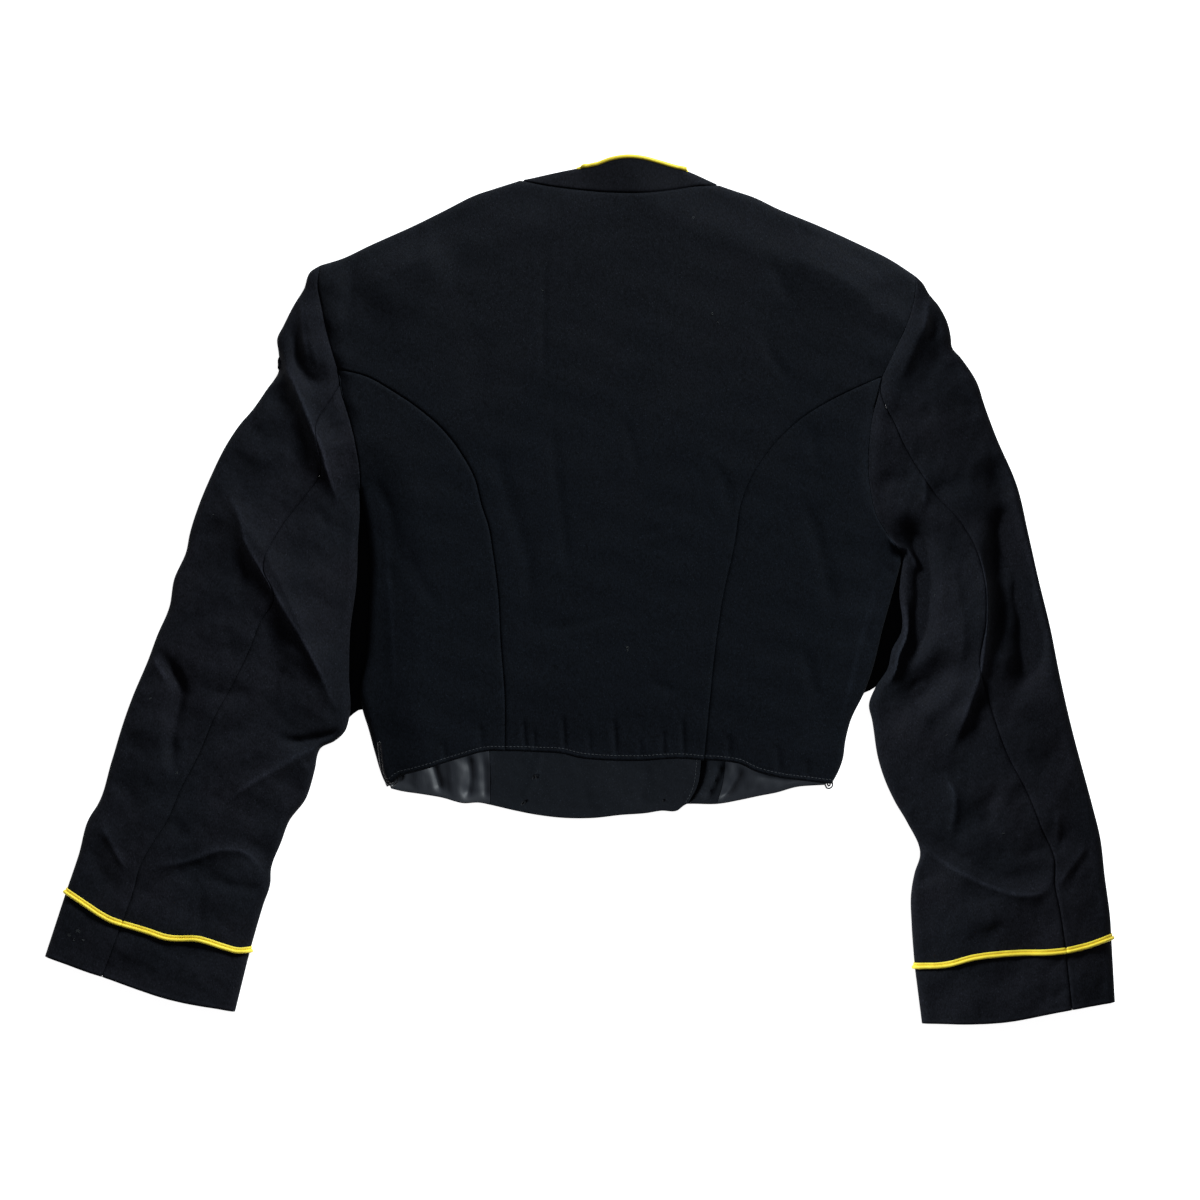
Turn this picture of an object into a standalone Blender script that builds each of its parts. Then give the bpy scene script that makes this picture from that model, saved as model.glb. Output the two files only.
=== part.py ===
"""Cropped mess dress jacket of black wool, lying on its fronts with the back up.

All sizes are in millimetres until a mesh is made. +X is the wearer's right, +Y points from hem to collar, and the
jacket lies on the plane z = 0. Each cloth piece is an open sheet between seam lines, given a wall on its inner side.
"""
from collections import namedtuple

import bmesh
import bpy
import numpy as np

MM = 0.001
MIDDLE = (0.5, 2.64, 0.0)  # the tables' point that becomes the origin: under the middle of the jacket

# Walls of the cloth
WOOL = 1.8
COLLAR_WALL = 2.4
FACING_WALL = 1.2
LINING_WALL = 1.0

# Gaps between neighbours
SEAM_SHIFT = 0.3           # each of two pieces that meet at a seam stands back by this much
MOST_SHIFT = 0.5           # but never by more than this part of the way to its next row
CORNER_SHIFT = 1.6         # and by this much more where it turns over a folded edge
TIP_SHARE = 0.05           # a side panel's point stands back by this part of its first row
SHY_SHARE = 0.5            # the end of a row that stays up stands back by this part of its last step
LAYER_GAP = 0.3            # air between a panel and what lies on it
FRONT_INSET = 2.5          # the fronts lie this far inside the folded edges of the back

# Height of the upper layer above the table
FOOT = 3.0                 # height at which a folded edge stands upright
UNDER_EDGE = 0.4           # air under the back's folded edges, which the fronts carry
EDGE_RISE = 8.5            # thickness of the jacket just inside a folded edge
BODY_LOFT = 7.5            # what the layers add further in
ROLL = 7.0                 # width of a rolled edge
CURL_SHARE = 0.3           # where a folded edge turns under, as a part of the way in and of its height
LOFT_REACH = 45.0          # distance from an edge at which the full loft is reached
NEAR_EDGE = (2.5, 7.0, 16.0)   # distances from an edge at which its roll is drawn

# Left front over right front
LAP_RISE = WOOL + FACING_WALL + 2 * LAYER_GAP
LAP_START = 60.0           # the left front starts to rise this far before the right front's edge
LAP_FULL = 32.0            # and is at its full height this far before it

# Trim
BRAID_RADIUS = 1.8
COLLAR_CORD_RADIUS = 1.1
HOOK_WIRE_RADIUS = 0.6
HOOK_HALF_WIDTH = 1.0      # half the distance between a hook's two wires

# Numbers of steps along each kind of seam
ARMHOLE_STEPS = 3          # on each of its two long stretches, apart from the close steps near a folded edge
SIDE_STEPS = 6
SIDE_COLUMNS = 4
SHOULDER_STEPS = 4
NECK_STEPS = 8
SLEEVE_STEPS = 11
CUFF_STEPS = 2
FRONT_NECK_STEPS = 4
FRONT_SHOULDER_STEPS = 5
LINING_STEPS = {"left": 4, "right": 3}
COLLAR_ROWS = 3
TURN_STEPS = 3             # steps of a grid that go round a folded edge
ENDS_LEFT_OUT = 2          # close steps at a line's end that the flat cloth below does without
EDGE_PIECES = {"shoulder": 12, "side": 16, "outer": 30, "inner": 24}  # straight pieces of each folded edge
UNDERARM_FADE = 4          # how soon the armhole's bow is lost down the sleeve
UNDERSIDE_FADE = 24
INSIDE_STEPS = 3           # rows of the fronts, above the hem, that carry facing and lining
INSIDE_HEIGHT = 95.0       # how far up the facing and lining are made
INSIDE_MARGIN = 1.0        # they end this far inside the front


def table(columns, *lines):
    """Rows of named numbers."""
    row = namedtuple("Row", columns)
    return [row(*line) for line in lines]


# Seams and folded edges in plan, a row for each place where the line turns
SHOULDER = {
    "left": table("x y", (-213, 268), (-174, 284), (-132, 303), (-86, 326), (-49, 338)),
    "right": table("x y", (276, 259), (257, 271), (226, 287), (194, 301), (142, 324), (114, 334)),
}
NECK_SEAM = table("x y", (-49, 338), (-28, 333), (-3, 330), (22, 327), (53, 327), (78, 330), (98, 333), (114, 334))
COLLAR_TOP = table("x y", (-2, 346), (12, 350), (27, 352), (41, 354), (53, 353), (72, 348), (88, 343))
ARMHOLE_ABOVE_BACK_SEAM = {
    "left": table("x y", (-213, 268), (-215, 253), (-212, 233), (-206, 207), (-198, 183)),
    "right": table("x y", (276, 259), (275, 245), (270, 226), (259, 201), (247, 175)),
}
ARMHOLE_BELOW_SLEEVE_SEAM = {
    "left": table("x y", (-196, 167), (-189, 141), (-184, 120), (-180, 93), (-181, 82)),
    "right": table("x y", (244, 163), (239, 145), (236, 110), (238, 82), (244, 61)),
}
CURVED_BACK_SEAM = {
    "left": table("x y", (-198, 183), (-174, 176), (-153, 165), (-132, 150), (-112, 132), (-97, 113), (-86, 93),
                  (-75, 52), (-66, -7), (-62, -85), (-61, -130)),
    "right": table("x y", (247, 175), (226, 166), (205, 157), (184, 144), (167, 130), (153, 113), (139, 93),
                   (131, 70), (125, 39), (116, -7), (111, -48), (106, -91), (102, -138)),
}
SIDE_FOLD = {
    "left": table("x y", (-181, 82), (-174, 51), (-172, 10), (-175, -31), (-179, -80), (-175, -105), (-167, -134),
                  (-159, -156)),
    "right": table("x y", (244, 61), (252, 48), (262, 29), (257, 2), (248, -30), (239, -65), (233, -83),
                   (222, -106), (217, -128), (207, -157)),
}
BACK_HEM = {
    "left": table("x y", (-159, -156), (-121, -143), (-92, -133), (-74, -130), (-61, -130)),
    "centre": table("x y", (-61, -130), (-34, -130), (-14, -132), (13, -137), (54, -138), (81, -137), (102, -138)),
    "right": table("x y", (207, -157), (185, -155), (163, -152), (131, -141), (102, -138)),
}
FRONT_NECK = {
    "left": table("x y", (-48, 334), (-43, 313), (-29, 285), (-4, 259), (32, 246)),
    "right": table("x y", (112, 330), (108, 312), (96, 284), (72, 259), (35, 246)),
}
COLLAR_FRONT_TOP = {
    "left": table("x y", (-3, 342), (-9, 325), (-3, 304), (11, 287), (32, 277)),
    "right": table("x y", (88, 339), (80, 325), (71, 304), (57, 287), (35, 277)),
}
FRONT_EDGE = {
    "left": table("x y", (32, 246), (34, 203), (43, 141), (53, 75), (75, -39), (100, -139), (89, -174)),
    "right": table("x y", (35, 246), (36, 203), (25, 141), (12, 84), (-8, -7), (-33, -121), (-45, -173)),
}
FRONT_HEM = {
    "left": table("x y", (-155, -162), (-130, -166), (-102, -171), (-74, -175), (-34, -183), (11, -185), (34, -183),
                  (80, -180), (89, -174)),
    "right": table("x y", (201, -160), (179, -161), (148, -167), (111, -174), (91, -174), (16, -177), (-45, -173)),
}
FACING_SEAM_ON_HEM = {"left": -74, "right": 111}
SLEEVE_OUTER = {
    "left": table("x y", (-213, 268), (-226, 248), (-244, 218), (-248, 203), (-246, 187), (-258, 164), (-279, 138),
                  (-303, 93), (-321, 47), (-333, 11), (-347, -36), (-367, -87), (-385, -139), (-412, -216),
                  (-422, -250)),
    "right": table("x y", (276, 259), (286, 245), (302, 220), (305, 202), (314, 190), (327, 169), (341, 129),
                   (359, 86), (368, 48), (376, 10), (386, -30), (400, -97), (412, -142), (427, -202), (436, -284)),
}
SLEEVE_BACK_SEAM = {
    "left": table("x y", (-196, 167), (-215, 139), (-212, 98), (-226, 76), (-244, 54), (-257, 28), (-254, 6),
                  (-262, -27), (-298, -100), (-314, -138), (-337, -186), (-360, -226), (-375, -271)),
    "right": table("x y", (244, 163), (257, 138), (276, 102), (291, 80), (312, 56), (329, 26), (331, -15),
                   (327, -65), (334, -86), (350, -134), (377, -192), (389, -230), (395, -293)),
}
SLEEVE_INNER = {
    "left": table("x y", (-181, 82), (-182, 59), (-184, 7), (-189, -31), (-190, -68), (-190, -93), (-194, -114),
                  (-212, -130), (-225, -169), (-245, -205), (-254, -239), (-271, -298)),
    "right": table("x y", (244, 61), (257, 49), (268, 30), (267, 4), (258, -30), (248, -65), (241, -89),
                   (240, -105), (248, -150), (268, -189), (279, -216), (271, -248), (273, -277), (275, -305)),
}
SLEEVE_FRONT_SEAM = {
    "left": table("x y", (-196, 167), (-216, 90), (-243, 0), (-268, -100), (-298, -200), (-322, -284)),
    "right": table("x y", (244, 163), (276, 90), (297, 0), (312, -100), (331, -200), (341, -297)),
}
BRAID_OUTER = {
    "left": table("x y", (-375, -271), (-386, -268), (-405, -260), (-422, -250)),
    "right": table("x y", (395, -293), (414, -290), (436, -284)),
}
BRAID_INNER = {
    "left": table("x y", (-375, -271), (-353, -279), (-311, -287), (-292, -294), (-271, -298)),
    "right": table("x y", (395, -293), (355, -295), (322, -298), (297, -305), (275, -305)),
}
CUFF = {
    "left": table("outer_x outer_y seam_x seam_y front_x front_y inner_x inner_y",
                  (-439, -299, -391, -315, -335, -330, -283, -344)),
    "right": table("outer_x outer_y seam_x seam_y front_x front_y inner_x inner_y",
                   (440, -336, 403, -342, 345, -350, 280, -352)),
}

# Mounds (+) and troughs (-) of the upper layer: a bent line, its half width and its height
FOLDS = table(
    "name x0 y0 x1 y1 bend width height",
    ("shoulder pad left", -185, 240, -105, 278, 0, 42, 7),
    ("shoulder pad right", 245, 230, 165, 272, 0, 42, 7),
    ("hem settles", -130, -140, 180, -150, -8, 34, -2.5),
    ("left sleeve head ridge", -240, 196, -196, 69, -12, 15, 7),
    ("left elbow ridge", -300, 86, -200, -100, -8, 15, 8),
    ("left forearm hollow", -330, -60, -318, -150, 6, 16, -4),
    ("left cuff flat", -330, -215, -300, -250, 0, 30, -3),
    ("right elbow ridge", 302, 34, 292, -120, 8, 17, 6.5),
    ("right elbow hollow", 353, 75, 357, -90, 12, 12, -3),
    ("right underarm hollow", 258, 62, 281, -38, 20, 11, -4),
    ("right forearm hollow", 278, -192, 385, -218, -22, 14, -4),
    ("right cuff mound", 330, -250, 340, -280, 0, 28, 2),
)


def points_of(rows):
    """The x and y of each row."""
    return np.array([(row.x, row.y) for row in rows], dtype=float)


def lengths(points):
    """Distance along a line of points, from 0 at its first point."""
    return np.concatenate([[0.0], np.cumsum(np.linalg.norm(np.diff(points, axis=0), axis=1))])


def fractions(points):
    """The same distances as parts of the whole length."""
    along = lengths(points)
    return along / along[-1] if along[-1] else np.linspace(0, 1, len(points))


def soft_line(rows, pieces_per_span=16):
    """A dense, soft curve through the rows of a table."""
    points = points_of(rows)
    along = lengths(points)
    slope = np.gradient(points, along, axis=0)
    curve = []
    for i in range(len(points) - 1):
        span = along[i + 1] - along[i]
        t = np.linspace(0, 1, pieces_per_span, endpoint=False)[:, None]
        curve.append((1 + 2 * t) * (1 - t) ** 2 * points[i] + t * (1 - t) ** 2 * span * slope[i]
                     + t * t * (3 - 2 * t) * points[i + 1] + t * t * (t - 1) * span * slope[i + 1])
    curve.append(points[-1:])
    return np.vstack(curve)


def sample(line, at):
    """Points of a dense line at given distances from its start."""
    along = lengths(line)
    return np.column_stack([np.interp(at, along, line[:, axis]) for axis in range(line.shape[1])])


def evenly(line, steps):
    """Points that cut a dense line into equal steps."""
    return sample(line, np.linspace(0, lengths(line)[-1], steps + 1))


def towards_edge(line, steps, edge_at_start=False):
    """Points along a dense line that ends at a folded edge: equal steps, then close ones on the edge's roll."""
    total = lengths(line)[-1]
    close = total - np.array((0.0,) + NEAR_EDGE)[::-1]
    at = np.concatenate([np.linspace(0, close[0], steps + 1)[:-1], close])
    if edge_at_start:
        at = (total - at)[::-1]
    return sample(line, at)


def beside(line, distance):
    """The same line moved sideways, to its left when the distance is positive, with mitred corners."""
    step = np.diff(line, axis=0)
    step /= np.linalg.norm(step, axis=1)[:, None]
    left = np.column_stack([-step[:, 1], step[:, 0]])
    before, after = np.vstack([left[:1], left]), np.vstack([left, left[-1:]])
    return line + distance * (before + after) / (1 + (before * after).sum(axis=1))[:, None]


def join(*lines):
    """One line from several that meet end to end."""
    return np.vstack([lines[0]] + [line[1:] for line in lines[1:]])


def patch(left, right, top, bottom, fade=1):
    """A grid of points between four edges. Left and right run down, top and bottom run from left to right.

    The fade is how fast the bow of the top edge is lost further down.
    """
    down = ((fractions(left) + fractions(right)) / 2)[:, None, None]
    across = ((fractions(top) + fractions(bottom)) / 2)[None, :, None]
    between_sides = (1 - across) * left[:, None] + across * right[:, None]
    top_bow = top - ((1 - across) * top[0] + across * top[-1])
    bottom_bow = bottom - ((1 - across) * bottom[0] + across * bottom[-1])
    return between_sides + (1 - down) ** fade * top_bow + down * bottom_bow


def distance_to(line, places):
    """Distance in plan from each place to a line of points."""
    nearest = np.full(places.shape[:-1], np.inf)
    for start, end in zip(line[:-1], line[1:]):
        along = end - start
        t = np.clip(((places - start) @ along) / (along @ along), 0, 1)
        nearest = np.minimum(nearest, np.linalg.norm(places - start - t[..., None] * along, axis=-1))
    return nearest


def bent_line(fold, pieces=8):
    """A fold's line in plan, bowed sideways at its middle."""
    start = np.array((fold.x0, fold.y0), dtype=float)
    end = np.array((fold.x1, fold.y1), dtype=float)
    along = end - start
    sideways = np.array((-along[1], along[0])) / np.linalg.norm(along)
    t = np.linspace(0, 1, pieces + 1)[:, None]
    return start + t * along + 4 * t * (1 - t) * fold.bend * sideways


def ease(t):
    """0 to 1 with a soft start and end."""
    t = np.clip(t, 0, 1)
    return t * t * (3 - 2 * t)


SIDES = ("left", "right")
SIDE_SIGN = {"left": 1, "right": -1}      # a line that runs down has the jacket on its left on the left-hand side

ARMHOLE = {}
for side in SIDES:
    upper = towards_edge(soft_line(ARMHOLE_ABOVE_BACK_SEAM[side]), ARMHOLE_STEPS, edge_at_start=True)
    lower = towards_edge(soft_line(ARMHOLE_BELOW_SLEEVE_SEAM[side]), ARMHOLE_STEPS)
    ARMHOLE[side] = np.vstack([upper, lower])
ABOVE_BACK_SEAM = ARMHOLE_STEPS + len(NEAR_EDGE)   # steps of the armhole from the shoulder to the curved back seam
ABOVE_SLEEVE_SEAM = ABOVE_BACK_SEAM + 1            # and to the sleeve's back seam

CUFF_CORNERS = {
    side: {name: np.array((getattr(CUFF[side][0], name + "_x"), getattr(CUFF[side][0], name + "_y")), dtype=float)
           for name in ("outer", "seam", "front", "inner")}
    for side in SIDES
}
COLLAR_FOLD = {
    "left": np.array([(NECK_SEAM[0].x, NECK_SEAM[0].y), (COLLAR_TOP[0].x, COLLAR_TOP[0].y)], dtype=float),
    "right": np.array([(NECK_SEAM[-1].x, NECK_SEAM[-1].y), (COLLAR_TOP[-1].x, COLLAR_TOP[-1].y)], dtype=float),
}
FOLD_EDGES = []
for side in SIDES:
    FOLD_EDGES.append(evenly(soft_line(SHOULDER[side]), EDGE_PIECES["shoulder"]))
    FOLD_EDGES.append(evenly(soft_line(SIDE_FOLD[side]), EDGE_PIECES["side"]))
    for half, edge_rows in (("outer", SLEEVE_OUTER[side]), ("inner", SLEEVE_INNER[side])):
        FOLD_EDGES.append(np.vstack([evenly(soft_line(edge_rows), EDGE_PIECES[half]), CUFF_CORNERS[side][half]]))
    FOLD_EDGES.append(COLLAR_FOLD[side])


def rise(places):
    """Height of the upper layer's outer face over the table."""
    inward = np.min([distance_to(edge, places) for edge in FOLD_EDGES], axis=0)
    roll = np.sqrt(1 - (1 - np.clip(inward / ROLL, 0, 1)) ** 2)
    height = EDGE_RISE + BODY_LOFT * ease(inward / LOFT_REACH)
    for fold in FOLDS:
        height = height + (fold.height * np.exp(-(distance_to(bent_line(fold), places) / fold.width) ** 2)
                           * np.clip(inward / LOFT_REACH, 0, 1))
    return FOOT + (height - FOOT) * roll


def raised(grid):
    """The grid with the upper layer's height."""
    return np.concatenate([grid, rise(grid)[..., None]], axis=-1)


def flat(grid, height=0.0):
    """The grid at one height."""
    return np.concatenate([grid, np.full(grid.shape[:-1] + (1,), float(height))], axis=-1)


def stand_back(grid, by=SEAM_SHIFT, top=True, bottom=True, first=True, last=True):
    """Moves the seams of a piece inwards, so that it stays clear of its neighbours."""
    grid = grid.copy()
    for wanted, edge, inner in ((top, grid[0], grid[1]), (bottom, grid[-1], grid[-2]),
                                (first, grid[:, 0], grid[:, 1]), (last, grid[:, -1], grid[:, -2])):
        if wanted:
            step = inner - edge
            reach = np.linalg.norm(step, axis=-1, keepdims=True)
            edge += step * np.minimum(by / np.maximum(reach, by), MOST_SHIFT)
    return grid


def shift_towards(edge, inner, distance):
    """Moves the points of an edge by a distance towards the points beside them."""
    step = inner - edge
    return edge + step * (distance / np.linalg.norm(step, axis=-1))[..., None]


def curl(edge, bottom):
    """The line between an upright folded edge and the flat cloth under it."""
    line = edge + CURL_SHARE * (bottom - edge)
    line[:, 2] = CURL_SHARE * FOOT
    return line


def let_down(grid, on_table):
    """Adds a last column that brings the marked rows upright down to the table, and lies flat on the others."""
    edge = grid[:, -1].copy()
    inner = grid[:, -2]
    foot = edge.copy()
    foot[on_table, 2] = UNDER_EDGE
    shy = edge + SHY_SHARE * (inner - edge)
    before = np.where(on_table[:, None], edge, shy)
    return np.concatenate([grid[:, :-1], before[:, None], foot[:, None]], axis=1)


def material(name, colour, roughness, metallic=0.0):
    """A plain finish."""
    finish = bpy.data.materials.new(name)
    finish.use_nodes = True
    shader = finish.node_tree.nodes["Principled BSDF"]
    shader.inputs["Base Color"].default_value = (*colour, 1.0)
    shader.inputs["Roughness"].default_value = roughness
    shader.inputs["Metallic"].default_value = metallic
    return finish


def shell(name, grid, wall, finish, facing_up=True, probe=None):
    """A sheet of cloth through a grid of points, with its wall on the side away from the outer face."""
    rows, columns = grid.shape[:2]
    sheet = bmesh.new()
    bmesh.ops.create_grid(sheet, x_segments=columns - 1, y_segments=rows - 1, size=1)
    sheet.verts.ensure_lookup_table()
    for vertex, place in zip(sheet.verts, grid.reshape(-1, 3)):
        vertex.co = (place - MIDDLE) * MM
    bmesh.ops.remove_doubles(sheet, verts=sheet.verts, dist=1e-7)
    row, column = probe or (rows // 2, columns // 2)
    down = grid[row + 1, column] - grid[row, column]
    across = grid[row, column + 1] - grid[row, column]
    grid_faces_up = np.cross(across, down)[2] > 0
    if grid_faces_up != facing_up:
        bmesh.ops.reverse_faces(sheet, faces=sheet.faces)
    mesh = bpy.data.meshes.new(name)
    sheet.to_mesh(mesh)
    sheet.free()
    mesh.shade_smooth()
    mesh.materials.append(finish)
    panel = bpy.data.objects.new(name, mesh)
    JACKET.objects.link(panel)
    thickness = panel.modifiers.new("Wall", "SOLIDIFY")
    thickness.thickness = wall * MM
    thickness.offset = -1
    thickness.use_even_offset = True
    thickness.use_quality_normals = True
    return panel


def cord(name, path, radius, finish):
    """A round cord or wire through the points of a path."""
    data = bpy.data.curves.new(name, "CURVE")
    data.dimensions = "3D"
    data.bevel_depth = radius * MM
    data.bevel_resolution = 2
    data.use_fill_caps = True
    spline = data.splines.new("POLY")
    spline.points.add(len(path) - 1)
    for point, place in zip(spline.points, path):
        point.co = (*((place - MIDDLE) * MM), 1.0)
    data.materials.append(finish)
    piece = bpy.data.objects.new(name, data)
    JACKET.objects.link(piece)
    return piece


for old in list(bpy.data.objects):
    bpy.data.objects.remove(old, do_unlink=True)
JACKET = bpy.data.collections.new("Mess dress jacket")
bpy.context.scene.collection.children.link(JACKET)

BLACK_WOOL = material("black wool", (0.006, 0.007, 0.010), 0.85)
BLACK_FACING = material("black facing", (0.008, 0.009, 0.012), 0.8)
BLACK_SATIN = material("black satin", (0.018, 0.021, 0.026), 0.4)
YELLOW_BRAID = material("yellow braid", (0.80, 0.58, 0.06), 0.5)
BLACK_ENAMEL = material("black enamel", (0.01, 0.01, 0.01), 0.25, 0.4)


# The back, between the shoulders, the neck seam, the two curved back seams and the hem
back_seam = {side: evenly(soft_line(CURVED_BACK_SEAM[side]), ABOVE_SLEEVE_SEAM + SIDE_STEPS) for side in SIDES}
back_edge = {side: join(ARMHOLE[side][:ABOVE_BACK_SEAM + 1], back_seam[side]) for side in SIDES}
neck = evenly(soft_line(NECK_SEAM), NECK_STEPS)
shoulder = {side: evenly(soft_line(SHOULDER[side]), SHOULDER_STEPS) for side in SIDES}
back_top = join(shoulder["left"], neck, shoulder["right"][::-1])
back_hem = evenly(soft_line(BACK_HEM["centre"]), len(back_top) - 1)
back_plan = patch(back_edge["left"], back_edge["right"], back_top, back_hem)
on_shoulder = np.ones(len(back_top), dtype=bool)
on_shoulder[SHOULDER_STEPS:SHOULDER_STEPS + NECK_STEPS + 1] = False
back_grid = stand_back(raised(back_plan), bottom=False)
back_grid = let_down(back_grid[::-1].transpose(1, 0, 2), on_shoulder)
shell("back", back_grid, WOOL, BLACK_WOOL)

# The side panels, which start as a point at the armhole and widen down to the hem
for side in SIDES:
    fold = evenly(soft_line(SIDE_FOLD[side]), SIDE_STEPS)
    outer = join(ARMHOLE[side][ABOVE_BACK_SEAM:], fold)
    hem = towards_edge(soft_line(BACK_HEM[side])[::-1], SIDE_COLUMNS)
    tip = np.repeat(outer[:1], len(hem), axis=0)
    plan = patch(back_seam[side], outer, tip, hem)
    for row in plan:
        if lengths(row)[-1] > 2 * NEAR_EDGE[-1]:
            row[:] = towards_edge(row.copy(), SIDE_COLUMNS)
    grid = stand_back(raised(plan), top=False, bottom=False)
    grid[0] = ((1 - TIP_SHARE) * grid[0] + TIP_SHARE * grid[1]).mean(axis=0)
    on_side_fold = np.arange(len(grid)) >= len(ARMHOLE[side]) - 1 - ABOVE_BACK_SEAM
    grid = let_down(grid, on_side_fold)
    grid[0] = grid[0, 0]
    shell("side_back_" + side, grid, WOOL, BLACK_WOOL)


# The two-piece sleeves: each half runs from the back seam on top, round a folded edge, to the front seam below
def sleeve_half(side, name, edge_rows, braid_rows, cuff_end, armhole_line, turn, fade):
    """Half of a sleeve and its braid. The armhole line runs from the back seam to the folded edge."""
    edge = soft_line(edge_rows)
    columns_over = len(armhole_line) - 1
    braid_line = towards_edge(soft_line(braid_rows), columns_over - len(NEAR_EDGE))
    cuff_line = np.array((CUFF_CORNERS[side]["seam"], CUFF_CORNERS[side][cuff_end]))
    over = np.concatenate([
        patch(evenly(soft_line(SLEEVE_BACK_SEAM[side]), SLEEVE_STEPS), evenly(edge, SLEEVE_STEPS), armhole_line,
              braid_line, fade),
        patch(evenly(np.array((braid_line[0], cuff_line[0])), CUFF_STEPS),
              evenly(np.array((braid_line[-1], cuff_line[1])), CUFF_STEPS), braid_line,
              towards_edge(cuff_line, columns_over - len(NEAR_EDGE)))[1:],
    ])
    upper = raised(over)
    upper[:, -1, 2] = FOOT
    front_seam = np.vstack([evenly(soft_line(SLEEVE_FRONT_SEAM[side]), SLEEVE_STEPS),
                            evenly(np.array((points_of(SLEEVE_FRONT_SEAM[side])[-1], CUFF_CORNERS[side]["front"])),
                                   CUFF_STEPS)[1:]])
    inset = beside(over[:, -1], turn * FOOT)
    inset[0] = sample(armhole_line[::-1], [FOOT])[0]
    inset[-1] = sample(over[-1, ::-1], [FOOT])[0]
    first_row = np.vstack([inset[0], armhole_line[-1 - ENDS_LEFT_OUT::-1]])
    last_row = evenly(np.array((inset[-1], front_seam[-1])), len(first_row) - 1)
    under = patch(inset, front_seam, first_row, last_row, UNDERSIDE_FADE)
    bottom = flat(under)
    grid = stand_back(np.concatenate([upper, curl(upper[:, -1], bottom[:, 0])[:, None], bottom], axis=1),
                      bottom=False)
    over_edge = slice(columns_over - len(NEAR_EDGE), columns_over + TURN_STEPS)
    grid[0, over_edge] = shift_towards(grid[0, over_edge], grid[1, over_edge], CORNER_SHIFT)
    shell(name, grid, WOOL, BLACK_WOOL, probe=(len(grid) // 2, 1))
    return grid[SLEEVE_STEPS, :columns_over + 1]


def lifted(line, lift, sideways):
    """A line of points on cloth, moved away from the cloth at right angles to itself."""
    step = np.gradient(line, axis=0)
    out = np.cross(np.broadcast_to(sideways, step.shape), step)
    out /= np.linalg.norm(out, axis=1)[:, None]
    out *= np.sign(out[0, 2])
    return line + lift * out


for side in SIDES:
    halves = (
        ("top", SLEEVE_OUTER[side], BRAID_OUTER[side], "outer", ARMHOLE[side][ABOVE_SLEEVE_SEAM::-1],
         SIDE_SIGN[side], 1),
        ("under", SLEEVE_INNER[side], BRAID_INNER[side], "inner", ARMHOLE[side][ABOVE_SLEEVE_SEAM:],
         -SIDE_SIGN[side], UNDERARM_FADE),
    )
    for half, edge_rows, braid_rows, cuff_end, armhole_line, turn, fade in halves:
        braid_seat = sleeve_half(side, half + "_sleeve_" + side, edge_rows, braid_rows, cuff_end, armhole_line, turn,
                                 fade)
        sleeve_run = CUFF_CORNERS[side]["seam"] - points_of(SLEEVE_BACK_SEAM[side])[-1]
        path = lifted(braid_seat, BRAID_RADIUS + LAYER_GAP, np.append(sleeve_run, 0.0))
        cord("cuff_piping_" + half + "_" + side, path, BRAID_RADIUS, YELLOW_BRAID)


# The fronts, flat on the table; the left one laps over the right one
def lap(plan):
    """Height of the left front, which climbs onto the right front before that one's edge."""
    edge = soft_line(FRONT_EDGE["right"])
    edge_x = np.interp(-plan[..., 1], -edge[:, 1], edge[:, 0])
    up = ease((plan[..., 0] - edge_x + LAP_START) / (LAP_START - LAP_FULL))
    return LAP_RISE * up


def front_plan(side):
    """The front in plan, from the armhole and side (first column) to the front edge (last column)."""
    armhole = ARMHOLE[side]
    first = sample(armhole, [FRONT_INSET + CORNER_SHIFT])
    fold = beside(evenly(soft_line(SIDE_FOLD[side]), SIDE_STEPS), SIDE_SIGN[side] * FRONT_INSET)[:-1]
    corner = points_of(FRONT_HEM[side])[0]
    outer = np.vstack([first, armhole[ENDS_LEFT_OUT:-1 - ENDS_LEFT_OUT], fold, corner])
    front_edge = soft_line(FRONT_EDGE[side])
    rows_above = len(outer) - 1 - INSIDE_STEPS
    total = lengths(front_edge)[-1]
    at = np.concatenate([np.linspace(0, total - INSIDE_HEIGHT, rows_above + 1),
                         total - INSIDE_HEIGHT * (1 - np.arange(1, INSIDE_STEPS + 1) / INSIDE_STEPS)])
    shoulder_line = beside(evenly(soft_line(SHOULDER[side]), FRONT_SHOULDER_STEPS), -SIDE_SIGN[side] * FRONT_INSET)
    shoulder_line[0] = first
    shoulder_line[-1] = points_of(FRONT_NECK[side])[0]
    top = join(shoulder_line, evenly(soft_line(FRONT_NECK[side]), FRONT_NECK_STEPS))
    hem = soft_line(FRONT_HEM[side])
    seam_at = lengths(hem)[np.argmin(abs(hem[:, 0] - FACING_SEAM_ON_HEM[side]))]
    steps_after = len(top) - 1 - LINING_STEPS[side]
    hem_at = np.concatenate([np.linspace(0, seam_at, LINING_STEPS[side] + 1),
                             np.linspace(seam_at, lengths(hem)[-1], steps_after + 1)[1:]])
    return patch(outer, sample(front_edge, at), top, sample(hem, hem_at))


for side in SIDES:
    grid = flat(front_plan(side))
    if side == "left":
        grid[..., 2] = lap(grid[..., :2])
    grid = stand_back(grid, bottom=False, last=False)
    shell("front_" + side, grid, WOOL, BLACK_WOOL, facing_up=False)
    inside = grid[-INSIDE_STEPS - 1:].copy()
    inside[..., 2] += WOOL + LAYER_GAP
    inside = stand_back(inside, by=INSIDE_MARGIN, top=False)
    facing = stand_back(inside[:, LINING_STEPS[side]:], top=False, bottom=False, last=False)
    lining = stand_back(inside[:, :LINING_STEPS[side] + 1], top=False, bottom=False, first=False)
    shell("facing_" + side, facing, FACING_WALL, BLACK_FACING, facing_up=False)
    shell("lining_" + side, lining, LINING_WALL, BLACK_SATIN, facing_up=False)


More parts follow.
